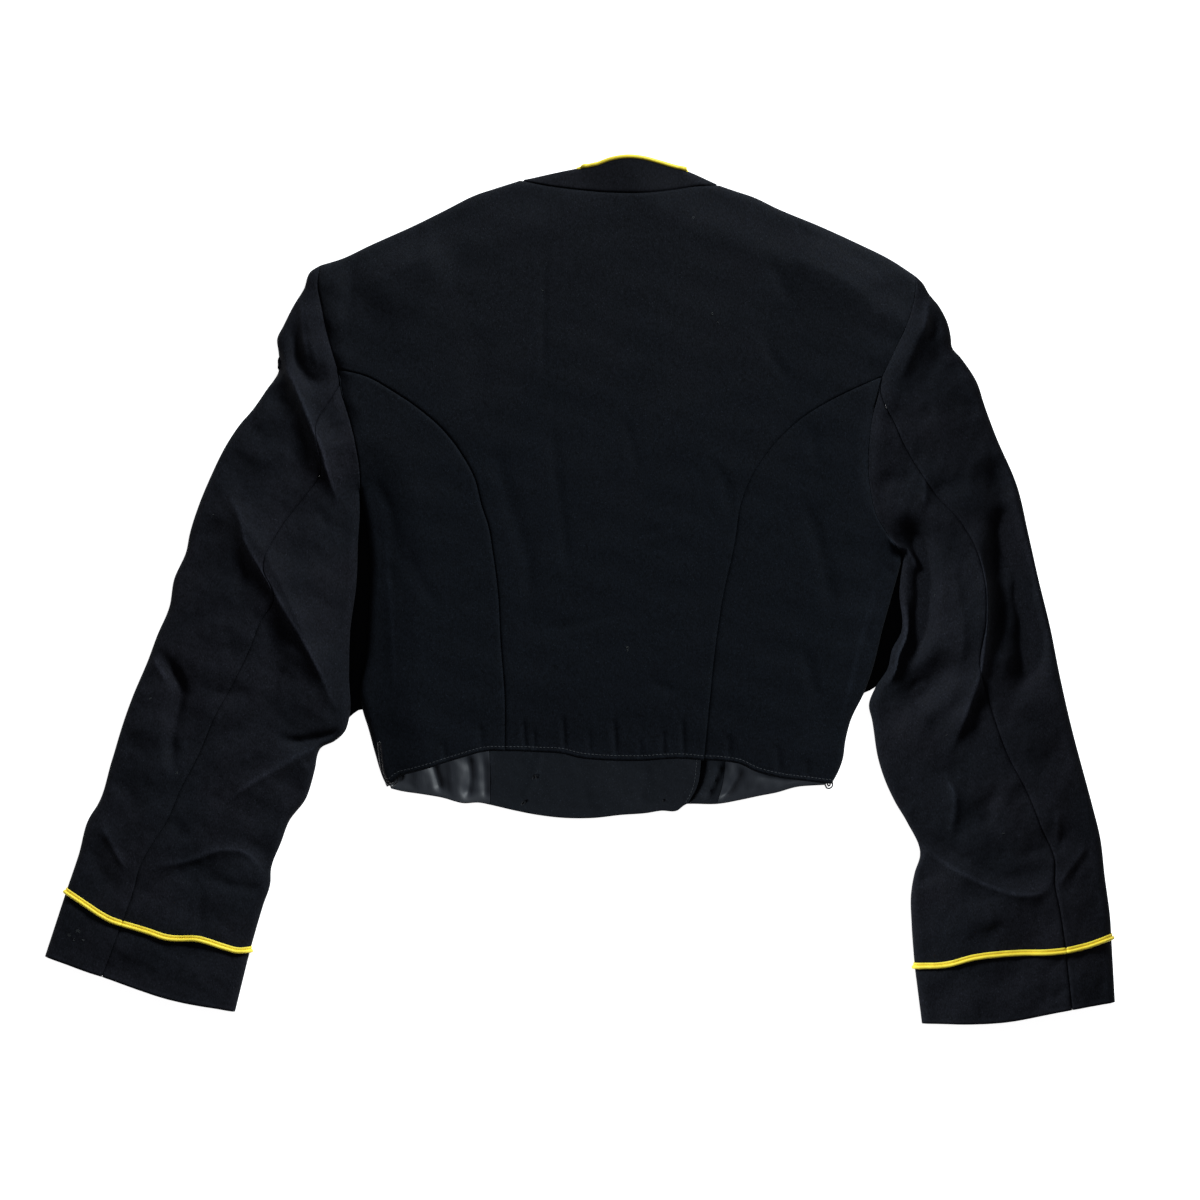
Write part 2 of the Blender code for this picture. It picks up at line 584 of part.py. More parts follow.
# The stand collar: a band from the left front, over the left fold, across the back and down to the right front
def collar_section(seam_point, top_point):
    """One section of the band, from the neck seam to its top edge."""
    return np.linspace(seam_point, top_point, COLLAR_ROWS + 1)


def collar_front(side):
    """Sections of the band below, from its front end to just inside the fold."""
    seam = evenly(soft_line(FRONT_NECK[side]), FRONT_NECK_STEPS)[::-1]
    top = evenly(soft_line(COLLAR_FRONT_TOP[side]), FRONT_NECK_STEPS)[::-1]
    return np.array([collar_section(a, b) for a, b in zip(seam, top)])


collar_back = np.array([collar_section(a, b) for a, b in zip(neck, evenly(soft_line(COLLAR_TOP), NECK_STEPS))])
collar_upper = raised(collar_back)
collar_fronts = {side: flat(collar_front(side)) for side in SIDES}
collar_curls = {side: curl(at_fold, collar_fronts[side][-1])[None]
                for side, at_fold in (("left", collar_upper[0]), ("right", collar_upper[-1]))}
collar_grid = np.concatenate([collar_fronts["left"], collar_curls["left"], collar_upper, collar_curls["right"],
                              collar_fronts["right"][::-1]])
collar_grid = stand_back(collar_grid, top=False, bottom=False, last=False)
at_fold = [FRONT_NECK_STEPS + step for step in range(TURN_STEPS)]
at_fold += [len(collar_grid) - 1 - row for row in at_fold]
collar_grid[at_fold, 0] = shift_towards(collar_grid[at_fold, 0], collar_grid[at_fold, 1], 2 * CORNER_SHIFT)
shell("collar", collar_grid, COLLAR_WALL, BLACK_WOOL)
collar_edge = collar_grid[:, -1]
along = np.gradient(collar_edge, axis=0)
along /= np.linalg.norm(along, axis=1)[:, None]
outward = collar_edge - collar_grid[:, -2]
outward -= (outward * along).sum(axis=1)[:, None] * along
outward /= np.linalg.norm(outward, axis=1)[:, None]
inner_side = np.cross(outward, along)
cord_line = collar_edge + outward * (COLLAR_CORD_RADIUS + LAYER_GAP) + inner_side * COLLAR_WALL / 2
cord_line[at_fold] += outward[at_fold] * CORNER_SHIFT / 2
cord_line[FRONT_NECK_STEPS:-FRONT_NECK_STEPS, 1] += CORNER_SHIFT / 2
cord_line[at_fold, 1] += CORNER_SHIFT / 2
cord("collar_piping", cord_line, COLLAR_CORD_RADIUS, YELLOW_BRAID)


# The belt hooks: a wire doubled back on itself, sewn in at the side and bent round the hem's corner
HOOKS = {
    "left": table("x y z", (-165, -124, 10.9), (-161, -150, 10.9), (-158, -158, 9.4), (-154, -160, 7.4),
                  (-151, -156, 6.6), (-151, -152, 6.2)),
    "right": table("x y z", (212, -130, 9.1), (207, -152, 9.0), (204, -160, 8.2), (206, -162, 7.0), (209, -160, 6.6),
                   (209, -157, 6.2)),
}
for side in SIDES:
    middle = np.array([(row.x, row.y, row.z) for row in HOOKS[side]], dtype=float)
    step = np.gradient(middle[:, :2], axis=0)
    step /= np.linalg.norm(step, axis=1)[:, None]
    half = HOOK_HALF_WIDTH * np.column_stack([-step[:, 1], step[:, 0], np.zeros(len(step))])
    cord("hook_" + side, np.vstack([middle - half, (middle + half)[::-1]]), HOOK_WIRE_RADIUS, BLACK_ENAMEL)
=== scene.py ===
# %% [markdown]
# # A mess dress jacket, lying on its front
# A mess jacket is a short black wool jacket. Here it lies on a table with its back up, so the camera sees the
# back, both two-piece sleeves, the stand collar and a strip of the inside at the hem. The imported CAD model
# gives the frame: every piece below is built in its place, in the same coordinates. We write lengths in
# millimetres and turn them into metres only when a mesh is made. +X is the wearer's right, +Y points to the
# collar and +Z up.

from collections import namedtuple

import bpy
import numpy as np
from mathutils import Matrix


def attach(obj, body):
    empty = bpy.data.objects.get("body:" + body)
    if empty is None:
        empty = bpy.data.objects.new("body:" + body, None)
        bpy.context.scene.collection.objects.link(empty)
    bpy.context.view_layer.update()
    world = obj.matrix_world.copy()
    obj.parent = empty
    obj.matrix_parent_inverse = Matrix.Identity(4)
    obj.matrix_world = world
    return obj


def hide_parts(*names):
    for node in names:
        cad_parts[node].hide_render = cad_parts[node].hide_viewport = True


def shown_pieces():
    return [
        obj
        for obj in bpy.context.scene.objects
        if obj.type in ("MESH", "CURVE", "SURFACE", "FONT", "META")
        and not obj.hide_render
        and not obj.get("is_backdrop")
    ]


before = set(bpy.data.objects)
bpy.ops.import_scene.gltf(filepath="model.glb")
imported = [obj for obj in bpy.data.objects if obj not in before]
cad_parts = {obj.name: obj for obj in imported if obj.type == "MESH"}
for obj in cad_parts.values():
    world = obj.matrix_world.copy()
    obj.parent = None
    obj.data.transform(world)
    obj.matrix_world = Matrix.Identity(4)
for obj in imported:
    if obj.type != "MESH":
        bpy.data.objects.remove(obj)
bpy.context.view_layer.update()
MM = 0.001
SIDES = ("left", "right")

# %% [markdown]
# ## Camera, table and light
# The jacket is looked at from straight above. A real shot like this uses a long lens from a few metres up,
# which keeps tall folds from leaning outwards. The table is a lit white sheet, as for cut-out pictures: it
# glows a little, so that it stays white close to the cloth. Black wool shows its folds only if the light is
# low and has a direction. In the picture the folds of the right sleeve are dark on their right, and all
# others on their left. So a main lamp stands at the upper right, and one at the upper left lights only the
# right sleeve. A third, at the lower left, lights the facings and linings below the hem. The pieces are given
# to the lamps near the end.

# %% Camera
PICTURE = 1200                                  # pixels on a side
MM_PER_PIXEL = 0.82
CAMERA_HEIGHT, CLOTH_HEIGHT = 3000.0, 5.0
MIDDLE = (15.9, -9.2)                           # the place that is in the picture's middle
SENSOR = 36.0

camera = bpy.data.objects.new("camera", bpy.data.cameras.new("camera"))
camera.location = (MIDDLE[0] * MM, MIDDLE[1] * MM, CAMERA_HEIGHT * MM)
camera.data.sensor_width = SENSOR
camera.data.lens = SENSOR * (CAMERA_HEIGHT - CLOTH_HEIGHT) / (PICTURE * MM_PER_PIXEL)
camera.data.clip_end = 50
bpy.context.scene.collection.objects.link(camera)
bpy.context.scene.camera = camera
print("lens", round(camera.data.lens, 1), "mm")

# %% Light and colour transform
ROOM_COLOUR, ROOM_LIGHT = (1.0, 0.95, 1.0, 1), 0.11


def lamp(name, place, size=1.4, power=700, colour=(0.90, 0.97, 1.0)):
    """A square soft lamp, aimed at the middle of the jacket."""
    light = bpy.data.objects.new(name, bpy.data.lights.new(name, "AREA"))
    light.data.size = size
    light.data.energy = power
    light.data.color = colour
    light.location = place
    light.rotation_euler = light.location.to_track_quat("Z", "Y").to_euler()
    bpy.context.scene.collection.objects.link(light)
    return light


main_lamp = lamp("lamp on the upper right", (3.4, 5.2, 3.15))
sleeve_lamp = lamp("lamp on the upper left", (-4.5, 4.3, 3.15))
inside_lamp = lamp("lamp on the lower side", (-5.0, -3.2, 3.15))
world = bpy.data.worlds.new("pale studio")
world.use_nodes = True
world.node_tree.nodes["Background"].inputs["Color"].default_value = ROOM_COLOUR
world.node_tree.nodes["Background"].inputs["Strength"].default_value = ROOM_LIGHT
bpy.context.scene.world = world
bpy.context.scene.view_settings.view_transform = "Standard"
print("lamps:", [light.name for light in (main_lamp, sleeve_lamp, inside_lamp)])

# %% [markdown]
# ## Writing finishes as sums
# A finish is a small net of shader nodes. Drawn by hand such nets are hard to read, so we wrap a socket in a
# class whose operators add the matching Math node: `1 - mask * 0.5` then builds two nodes. One method makes
# every other kind of node, from its type, its settings and its socket values.

# %% Socket sums
class Socket:
    """One output of a finish's node net, on which + - * / add Math nodes."""

    def __init__(self, finish, output):
        self.finish, self.output = finish, output

    def sum(self, operation, a, b):
        return self.finish.node("ShaderNodeMath", {"operation": operation}, {0: a, 1: b})

    def __add__(self, other):
        return self.sum("ADD", self, other)

    def __radd__(self, other):
        return self.sum("ADD", other, self)

    def __sub__(self, other):
        return self.sum("SUBTRACT", self, other)

    def __rsub__(self, other):
        return self.sum("SUBTRACT", other, self)

    def __mul__(self, other):
        return self.sum("MULTIPLY", self, other)

    def __rmul__(self, other):
        return self.sum("MULTIPLY", other, self)


class Finish:
    """A material whose nodes are made by one method."""

    def __init__(self, name):
        self.material = bpy.data.materials.new(name)
        self.material.use_nodes = True
        self.tree = self.material.node_tree
        self.shader = self.tree.nodes["Principled BSDF"]
        place = self.node("ShaderNodeTexCoord", output="Object")
        self.place = self.node("ShaderNodeVectorMath", {"operation": "SCALE"}, {0: place, "Scale": 1 / MM})

    def join(self, value, socket):
        """Links a Socket to an input, or sets a plain value there."""
        if isinstance(value, Socket):
            self.tree.links.new(value.output, socket)
        else:
            socket.default_value = value

    def node(self, kind, settings=None, inputs=None, output=0):
        """A node from its type, its settings, which are set first, and the values or links of its sockets."""
        made = self.tree.nodes.new(kind)
        for name, value in (settings or {}).items():
            if name == "stops":
                ends = made.color_ramp.elements[0], made.color_ramp.elements[-1]
                for stop, (at, colour) in zip(ends, value):
                    stop.position, stop.color = at, (*colour, 1)
            else:
                setattr(made, name, value)
        for name, value in (inputs or {}).items():
            self.join(value, made.inputs[name])
        return Socket(self, made.outputs[output])

    def feed(self, **inputs):
        """Values or links for the shader's own sockets, with _ for a space."""
        for name, value in inputs.items():
            self.join(value, self.shader.inputs[name.replace("_", " ")])

    def mottle(self, millimetres, detail=3.0, stretch=(1, 1, 1), turn=0.0):
        """Noise from 0 to 1 with patches of about that size, which may be drawn out and turned."""
        place = self.node("ShaderNodeMapping", {},
                          {"Vector": self.place, "Rotation": (0, 0, turn), "Scale": stretch})
        return self.node("ShaderNodeTexNoise", {},
                         {"Vector": place, "Scale": 1 / millimetres, "Detail": detail})

    def ramp(self, value, low, high, dark=(0, 0, 0), light=(1, 1, 1)):
        """Spreads the part of a value between low and high."""
        return self.node("ShaderNodeValToRGB", {"stops": ((low, dark), (high, light))}, {0: value})

    def blend(self, share, colour, other):
        """A mix of two colours, or of a colour and a link."""
        ends = [c if isinstance(c, Socket) else (*c, 1) for c in (colour, other)]
        return self.node("ShaderNodeMix", {"data_type": "RGBA"}, {0: share, 6: ends[0], 7: ends[1]}, output=2)

    def scaled(self, colour, by):
        """A colour times a value: the Mix node multiplies by grey."""
        grey = self.node("ShaderNodeCombineColor", {}, {0: by, 1: by, 2: by})
        return self.node("ShaderNodeMix", {"data_type": "RGBA", "blend_type": "MULTIPLY"},
                         {0: 1.0, 6: colour, 7: grey}, output=2)

    def ribs(self, spacing, turn, wobble=0.0):
        """Straight ribs, 0 to 1, a spacing apart, at an angle in radians."""
        place = self.node("ShaderNodeMapping", {}, {"Vector": self.place, "Rotation": (0, 0, turn)})
        return self.node("ShaderNodeTexWave", {"wave_type": "BANDS", "bands_direction": "X"},
                         {"Vector": place, "Scale": np.pi / 10 / spacing, "Distortion": wobble, "Detail": 2.0})

    def relief(self, height, depth):
        """A Bump node for a height that goes from 0 to 1 over a depth in millimetres."""
        return self.node("ShaderNodeBump", {}, {"Height": height, "Distance": depth * MM, "Strength": 1.0})


# %% [markdown]
# ## Black wool
# Uniform wool is barathea or a fine twill. From a metre it reads as a very dark blue-grey whose blue comes
# and goes in wide patches, where the nap is brushed differently, with a fine grain of yarns. We mix two
# blacks with wide noise, grain them with fine noise, and let tiny twill ribs and fuzz drive one Bump node.

# %% Wool finishes
CREST_WEAR_AND_HIGHLIGHT, DUSTY = 0.9, 1.4                        # how much lighter a crest (worn nap and a painted highlight) and a speck of dust are
WARMING = 0.0042                                # how fast the warmer black grows, for each millimetre


def wool(name, cool, warm, warm_share=0.5, warm_from=None, grain=1.2):
    """Black wool between a bluish and a warmer black, which grows with Y above a place if one is given."""
    finish = Finish(name)
    clouds = finish.ramp(finish.mottle(70, 3.0), 0.36, 0.64)
    if warm_from is None:
        share = clouds * 0.8 + (warm_share - 0.4)
    else:
        height = finish.node("ShaderNodeSeparateXYZ", {}, {0: finish.place}, output="Y")
        share = finish.ramp(clouds * 0.35 + (height - warm_from) * WARMING + warm_share, 0.1, 0.9)
    colour = finish.blend(share, cool, warm)
    yarns = finish.ramp(finish.mottle(0.95, 1.5, (1.0, 0.5, 1.0), 0.6), 0.30, 0.70)
    fuzz = finish.ramp(finish.mottle(3.4, 4.0), 0.30, 0.70)
    dust = finish.ramp(finish.mottle(1.0, 0.0), 0.735, 0.80)
    # A thin lighter line on each crest: partly worn nap, partly a painted highlight.
    crest = finish.node("ShaderNodeAttribute", {"attribute_name": "crest"}, output="Fac")
    wear_and_highlight = 1.0 + crest * CREST_WEAR_AND_HIGHLIGHT
    shade = (1.0 - grain / 2 + (yarns * 0.68 + fuzz * 0.32) * grain) * wear_and_highlight + dust * DUSTY
    twill = finish.ribs(0.62, 0.78, 0.6) * 0.5 + finish.ribs(0.9, -0.6, 1.2) * 0.2 + yarns * 0.35
    finish.feed(Base_Color=finish.scaled(colour, shade), Roughness=0.72 + fuzz * 0.2,
                Normal=finish.relief(twill, 0.05), Specular_IOR_Level=0.06, Sheen_Weight=0.01,
                Sheen_Roughness=0.5)
    return finish.material


BACK_WOOL = wool("black wool of the back", (0.0043, 0.0057, 0.0084), (0.0064, 0.0074, 0.0100), 0.25, 150)
SLEEVE_WOOL = wool("black wool of the sleeves", (0.0060, 0.0072, 0.0100), (0.0084, 0.0087, 0.0120), 0.55)
COLLAR_WOOL = wool("black wool of the collar", (0.0068, 0.0075, 0.0100), (0.0080, 0.0084, 0.0112), 0.5)
# The fronts' wool is darker than the back's as painted shade for the deep gaps at the underarms.
FRONT_WOOL_PAINTED_SHADE = wool("black wool of the fronts", (0.0024, 0.0031, 0.0044), (0.0036, 0.0041, 0.0056), 0.4)
FACING_WOOL = wool("black wool of the facings", (0.0068, 0.0084, 0.0112), (0.0086, 0.0100, 0.0130), 0.5,
                   grain=0.6)
print("wool finishes:", [m.name for m in bpy.data.materials if "wool" in m.name])

# %% [markdown]
# ## Satin, braid, enamel and thread
# The lining is a warp satin: smoother than wool, so it shows soft streaks of light along its folds. The braid
# is bright yellow rayon over a cord, with fine threads wound round it. The hooks are black enamelled wire.

# %% Trim finishes
def satin():
    finish = Finish("black satin")
    streaks = finish.mottle(0.8, 2.0, (1.0, 0.08, 1.0))
    clouds = finish.mottle(30, 2.0)
    colour = finish.blend(clouds, (0.0100, 0.0120, 0.0158), (0.0190, 0.0212, 0.0268))
    # The streaks lighten the colour as painted sheen in long streaks, and also vary the roughness.
    finish.feed(Base_Color=finish.scaled(colour, 0.8 + streaks * 0.4), Roughness=0.44 + streaks * 0.14,
                Specular_IOR_Level=0.22, Normal=finish.relief(streaks, 0.01))
    return finish.material


def yellow_braid():
    finish = Finish("yellow braid")
    wound = finish.mottle(0.5, 2.0)
    wear = finish.ramp(finish.mottle(7.0, 3.0), 0.35, 0.75)
    colour = finish.blend(wear * 0.5, (0.95, 0.77, 0.06), (0.84, 0.58, 0.03))
    finish.feed(Base_Color=finish.scaled(colour, 0.82 + wound * 0.3), Roughness=0.5 + wound * 0.15,
                Specular_IOR_Level=0.35, Normal=finish.relief(wound, 0.05))
    return finish.material


def enamel():
    finish = Finish("black enamel")
    wear_and_highlight = finish.ramp(finish.mottle(1.6, 4.0), 0.62, 0.75)
    finish.feed(Base_Color=finish.blend(wear_and_highlight, (0.004, 0.004, 0.005), (0.05, 0.048, 0.045)),
                Roughness=0.26 + wear_and_highlight * 0.25, Specular_IOR_Level=0.5, Coat_Weight=0.3)
    return finish.material


def thread(name, colour, roughness=0.6):
    finish = Finish(name)
    plied = finish.mottle(0.35, 2.0, (1.0, 0.3, 1.0), 0.5)
    finish.feed(Base_Color=finish.scaled((*colour, 1), 0.7 + plied * 0.6), Roughness=roughness,
                Specular_IOR_Level=0.2, Normal=finish.relief(plied, 0.03))
    return finish.material


SATIN, BRAID, ENAMEL = satin(), yellow_braid(), enamel()
BLACK_THREAD = thread("black sewing thread", (0.012, 0.013, 0.015))
YELLOW_THREAD = thread("yellow sewing thread", (0.78, 0.52, 0.05))
HEM_THREAD = thread("greyish hem thread", (0.045, 0.049, 0.055))
LINT = thread("pale lint", (0.10, 0.11, 0.11), 0.9)
print("trim finishes:", [made.name for made in (SATIN, BRAID, ENAMEL, BLACK_THREAD, YELLOW_THREAD,
                                                HEM_THREAD, LINT)])

# %% White table
TABLE_HALF, TABLE_TOP = 6, -2e-4                # metres
table_finish = Finish("white table")
cloudy = table_finish.mottle(400, 2.0)
table_finish.feed(Base_Color=table_finish.blend(cloudy, (0.86, 0.86, 0.86), (0.90, 0.90, 0.90)), Roughness=0.9,
                  Specular_IOR_Level=0.1, Emission_Color=(1, 1, 1, 1), Emission_Strength=0.93)
table_mesh = bpy.data.meshes.new("table")
corners = [(x * TABLE_HALF, y * TABLE_HALF, TABLE_TOP) for x, y in ((-1, -1), (1, -1), (1, 1), (-1, 1))]
table_mesh.from_pydata(corners, [], [(0, 1, 2, 3)])
table_mesh.materials.append(table_finish.material)
table_top = bpy.data.objects.new("table", table_mesh)
bpy.context.scene.collection.objects.link(table_top)
table_top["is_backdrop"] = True

# %% [markdown]
# ## Seam lines
# A tailor cuts each panel between seam lines, and we do the same. A line is a row of points read off the
# pattern in plan, and a soft curve through them gives as many points as we want. The names say which seam or
# folded edge it is. A folded edge is where the cloth turns under: it draws the jacket's outline.

# %% Lines in plan
def lengths(points):
    """Distance along a line of points, from 0 at its first point."""
    return np.concatenate([[0.0], np.cumsum(np.linalg.norm(np.diff(points, axis=0), axis=1))])


def line(*points):
    """A dense, soft curve through a few points."""
    points = np.array(points, dtype=float)
    along = lengths(points)
    slope = np.gradient(points, along, axis=0)
    t = np.linspace(0, 1, 12, endpoint=False)[:, None]
    curve = []
    for i, span in enumerate(np.diff(along)):
        curve.append((1 + 2 * t) * (1 - t) ** 2 * points[i] + t * (1 - t) ** 2 * span * slope[i]
                     + t * t * (3 - 2 * t) * points[i + 1] + t * t * (t - 1) * span * slope[i + 1])
    return np.vstack(curve + [points[-1:]])


def read_at(at, distances, values):
    """Columns of values that are known at some distances along a line, read at others."""
    return np.column_stack([np.interp(at, distances, values[:, axis]) for axis in range(values.shape[1])])


def sample(curve, at):
    """Points of a line at given distances from its start."""
    return read_at(at, lengths(curve), curve)


def evenly(curve, steps):
    """Points of a line at equal steps."""
    return sample(curve, np.linspace(0, lengths(curve)[-1], steps + 1))


SEAMS = {
    "shoulder left": line((-213.5, 265.5), (-195.5, 271), (-174.5, 281), (-132.5, 300), (-109.5, 311.5),
        (-86.5, 323), (-70, 328.5), (-49.5, 335)),
    "shoulder right": line((275, 256.5), (256, 269), (225, 284.5), (194, 298.5), (162.5, 311.5),
        (141.5, 321.5), (125, 327), (113.5, 331)),
    "neck seam": line((-49.5, 335), (-28.5, 330.5), (-4, 327), (21.5, 324.5), (53, 324), (71.5, 326),
        (97, 330), (113.5, 331)),
    "collar fold left": line((-49.5, 335), (-37.5, 337.5), (-16, 344), (-3, 346)),
    "collar fold right": line((113.5, 331), (103.5, 336), (97, 339.5), (88, 342.5)),
    "collar top": line((-3, 344.5), (12, 346.5), (26.5, 351), (40.5, 352.5), (53, 351), (65, 348),
        (76.5, 345), (88, 342.5)),
    "armhole above left": line((-213.5, 265.5), (-215.5, 250.5), (-212, 230), (-206.5, 205), (-199, 180)),
    "armhole above right": line((275, 256.5), (274, 242.5), (269.5, 223.5), (258.5, 198.5), (246.5, 173.5)),
    "armhole below left": line((-196.5, 168), (-194, 155), (-189, 138.5), (-184, 117), (-181, 96),
        (-181, 79.5)),
    "armhole below right": line((244.5, 164.5), (239, 142.5), (236.5, 121), (235.5, 100.5), (237.5, 79.5),
        (242, 60.5), (252, 43.5), (264.5, 27)),
    "back seam left": line((-199, 180), (-174.5, 173.5), (-154, 162), (-132.5, 147.5), (-112, 129.5),
        (-97.5, 110.5), (-86.5, 90), (-81, 68.5), (-75, 50), (-72, 32), (-67, -9), (-65.5, -40.5), (-62, -88),
        (-62, -133)),
    "back seam right": line((246.5, 173.5), (225, 164), (204.5, 154), (183, 141), (167, 127.5), (152, 110.5),
        (139, 90), (130.5, 67), (126.5, 40), (116, -9), (110, -50), (105.5, -93.5), (101, -140.5)),
    "side left": line((-181, 79.5), (-176, 56.5), (-172.5, 23.5), (-173.5, -17.5), (-176, -58.5),
        (-181, -88.5), (-178.5, -101), (-174.5, -113.5), (-168.5, -135.5), (-163.5, -152), (-159, -162.5)),
    "side right": line((264.5, 27), (257, 0), (248, -32), (239, -67.5), (232.5, -85.5), (221.5, -108.5),
        (217.5, -124), (215, -140.5), (211, -151), (206, -160)),
    "hem left": line((-159, -162.5), (-150.5, -154.5), (-136, -150), (-121, -145.5), (-108, -141),
        (-95, -137), (-81.5, -133), (-74.5, -132), (-62, -132)),
    "hem centre": line((-62, -132), (-55.5, -132), (-35, -133), (-14.5, -134.5), (-0.5, -138), (12.5, -139.5),
        (33, -140.5), (53.5, -140.5), (66.5, -139.5), (80.5, -139), (101, -140.5)),
    "hem right": line((206, -160), (195.5, -159), (185, -157.5), (162.5, -154.5), (143, -149.5),
        (130.5, -143.5), (114.5, -141), (101, -140.5)),
    "front hem left": line((-155.5, -164), (-147.5, -166), (-131, -168.5), (-113.5, -171.5), (-96.5, -176),
        (-82.5, -175.5), (-72.5, -177.5), (-55.5, -181.5), (-35, -185.5), (-12, -188), (10, -188),
        (33, -185.5), (53.5, -184), (66.5, -182), (79, -182), (85, -177.5), (89, -175.5)),
    "front hem right": line((201, -161), (190.5, -161.5), (178.5, -162.5), (160, -167.5), (147, -170),
        (130.5, -173.5), (113.5, -176.5), (90.5, -176.5), (48.5, -178), (-0.5, -178), (-45.5, -175.5)),
    "sleeve outer left": line((-213.5, 265.5), (-222, 260), (-227, 246), (-234, 235), (-244, 215.5),
        (-249, 205), (-248, 195), (-246.5, 182.5), (-259, 161.5), (-269.5, 146.5), (-279.5, 135), (-289, 121),
        (-304, 91), (-313.5, 68), (-321, 44), (-323.5, 31), (-333.5, 8), (-337.5, -15), (-347.5, -38.5),
        (-354.5, -57.5), (-368, -89.5), (-374.5, -107.5), (-385, -142), (-396.5, -177.5), (-402.5, -186.5),
        (-412, -218.5), (-422, -248)),
    "sleeve outer right": line((275, 256.5), (281, 250.5), (285.5, 242.5), (294, 232), (301.5, 217),
        (304, 205), (304.5, 199), (312.5, 189), (326.5, 166.5), (330, 155), (340.5, 126), (358.5, 83.5),
        (367.5, 45), (376, 7), (385.5, -32), (392.5, -67.5), (399.5, -99.5), (405.5, -124), (411, -144.5),
        (420, -178), (426.5, -204.5), (430, -234.5), (435, -275), (435.5, -285.5)),
    "sleeve back left": line((-196.5, 168), (-204, 155), (-215.5, 136), (-212, 95), (-227, 73.5),
        (-244, 51.5), (-253, 36), (-258, 25), (-259, 15.5), (-253, 3), (-250, -5), (-263, -29.5),
        (-268.5, -44.5), (-276, -61.5), (-286.5, -82), (-298, -102.5), (-314.5, -140.5), (-327, -164),
        (-337.5, -189), (-353, -213.5), (-360.5, -228), (-366, -248.5), (-375, -274)),
    "sleeve back right": line((244.5, 164.5), (247, 155), (257, 135), (264.5, 118), (275, 100), (290.5, 77),
        (312, 53), (322.5, 34.5), (330, 7), (331, -25.5), (326.5, -67.5), (333, -88.5), (344.5, -124),
        (349.5, -136.5), (365, -166), (376.5, -194.5), (388, -223), (388, -241.5), (392.5, -265),
        (397, -296)),
    "sleeve inner left": line((-181, 79.5), (-181.5, 56.5), (-182.5, 41.5), (-184, 4), (-189, -34),
        (-190, -70.5), (-190, -107), (-193, -116.5), (-202, -125), (-213, -130.5), (-218, -148.5),
        (-221, -160), (-225, -171.5), (-239, -190.5), (-245.5, -207.5), (-254, -230.5), (-254.5, -241.5),
        (-260.5, -260), (-271, -296)),
    "sleeve inner right": line((264.5, 27), (262.5, 12), (261.5, -2.5), (263, -35.5), (255.5, -50),
        (252, -65), (241.5, -81.5), (236.5, -95.5), (239, -107.5), (244.5, -141), (248, -152.5), (258, -175),
        (267.5, -191), (278.5, -218.5), (274, -233), (271, -251), (271.5, -275), (274, -309.5)),
    "sleeve front left": line((-196.5, 168), (-215.5, 89), (-242.5, -1), (-267, -101), (-298, -201),
        (-322, -286.5)),
    "sleeve front right": line((244.5, 164.5), (275, 89), (298, -1), (311, -101), (331.5, -201),
        (340.5, -300.5)),
    "braid outer left": line((-375, -274), (-386.5, -271), (-405.5, -262.5), (-422, -254.5)),
    "braid outer right": line((397, -296), (413.5, -293), (435.5, -286.5)),
    "braid inner left": line((-375, -274), (-353, -281.5), (-337.5, -287), (-311.5, -289.5), (-292.5, -297),
        (-282, -300.5), (-271.5, -300.5)),
    "braid inner right": line((397, -296), (380, -297.5), (354.5, -298), (322, -301), (296.5, -307.5),
        (274, -308.5)),
    "cuff left": line((-439.5, -301.5), (-391.5, -317.5), (-336.5, -336), (-283.5, -347)),
    "cuff right": line((438.5, -339), (402, -344.5), (344, -355), (280, -356.5)),
    "front neck left": line((-49.5, 332), (-44, 310), (-30, 282), (-4.5, 255.5), (31.5, 242.5)),
    "front neck right": line((111, 328.5), (107.5, 309), (95.5, 281), (71.5, 255.5), (34.5, 242.5)),
    "front edge left": line((31.5, 242.5), (33, 200), (42, 138.5), (53, 73), (74, -42), (99.5, -141),
        (96.5, -161), (89, -175.5)),
    "front edge right": line((34.5, 242.5), (35.5, 200), (24, 138.5), (12, 81), (-8.5, -9), (-33.5, -124),
        (-45.5, -175.5)),
    "front side left": line((-181, 79.5), (-182.5, 56.5), (-183.5, 41.5), (-185, 4), (-190, -34),
        (-190.5, -70.5), (-190.5, -106), (-186, -102), (-180, -96), (-175.5, -102), (-171.5, -113.5),
        (-165.5, -135.5), (-161, -152), (-155.5, -164)),
    "front side right": line((264.5, 27), (263, 12), (262, -2.5), (263.5, -35.5), (256, -50), (252.5, -65),
        (242, -81.5), (233.5, -85), (229, -88.5), (219, -109), (215, -124), (212.5, -140.5), (208, -151),
        (201, -161)),
    "collar front top left": line((-3, 339.5), (-9.5, 322), (-4, 301.5), (10, 284.5), (31.5, 274.5)),
    "collar front top right": line((88, 337.5), (80, 322), (71, 301.5), (56.5, 284.5), (35, 274.5)),
}
print(len(SEAMS), "lines, the longest", round(max(lengths(s)[-1] for s in SEAMS.values())), "mm")

# %% [markdown]
# ## Folds
# Cloth that lies on a table is a height field: each place in plan has one height. We start from a pillow that
# rises inside the folded edges, and add folds. A fold is a bent line with a height, negative for a hollow,
# and a width on each side of its run, because real creases are steeper on one side. This list is what makes
# the jacket look worn and not inflated, so it is long.

# %% Fold lists
Fold = namedtuple("Fold", "name height left right points")


def fold(name, height, left, right, *points):
    """A fold along a soft line, of which every third point is enough."""
    return Fold(name, height, left, right, line(*points)[::3])


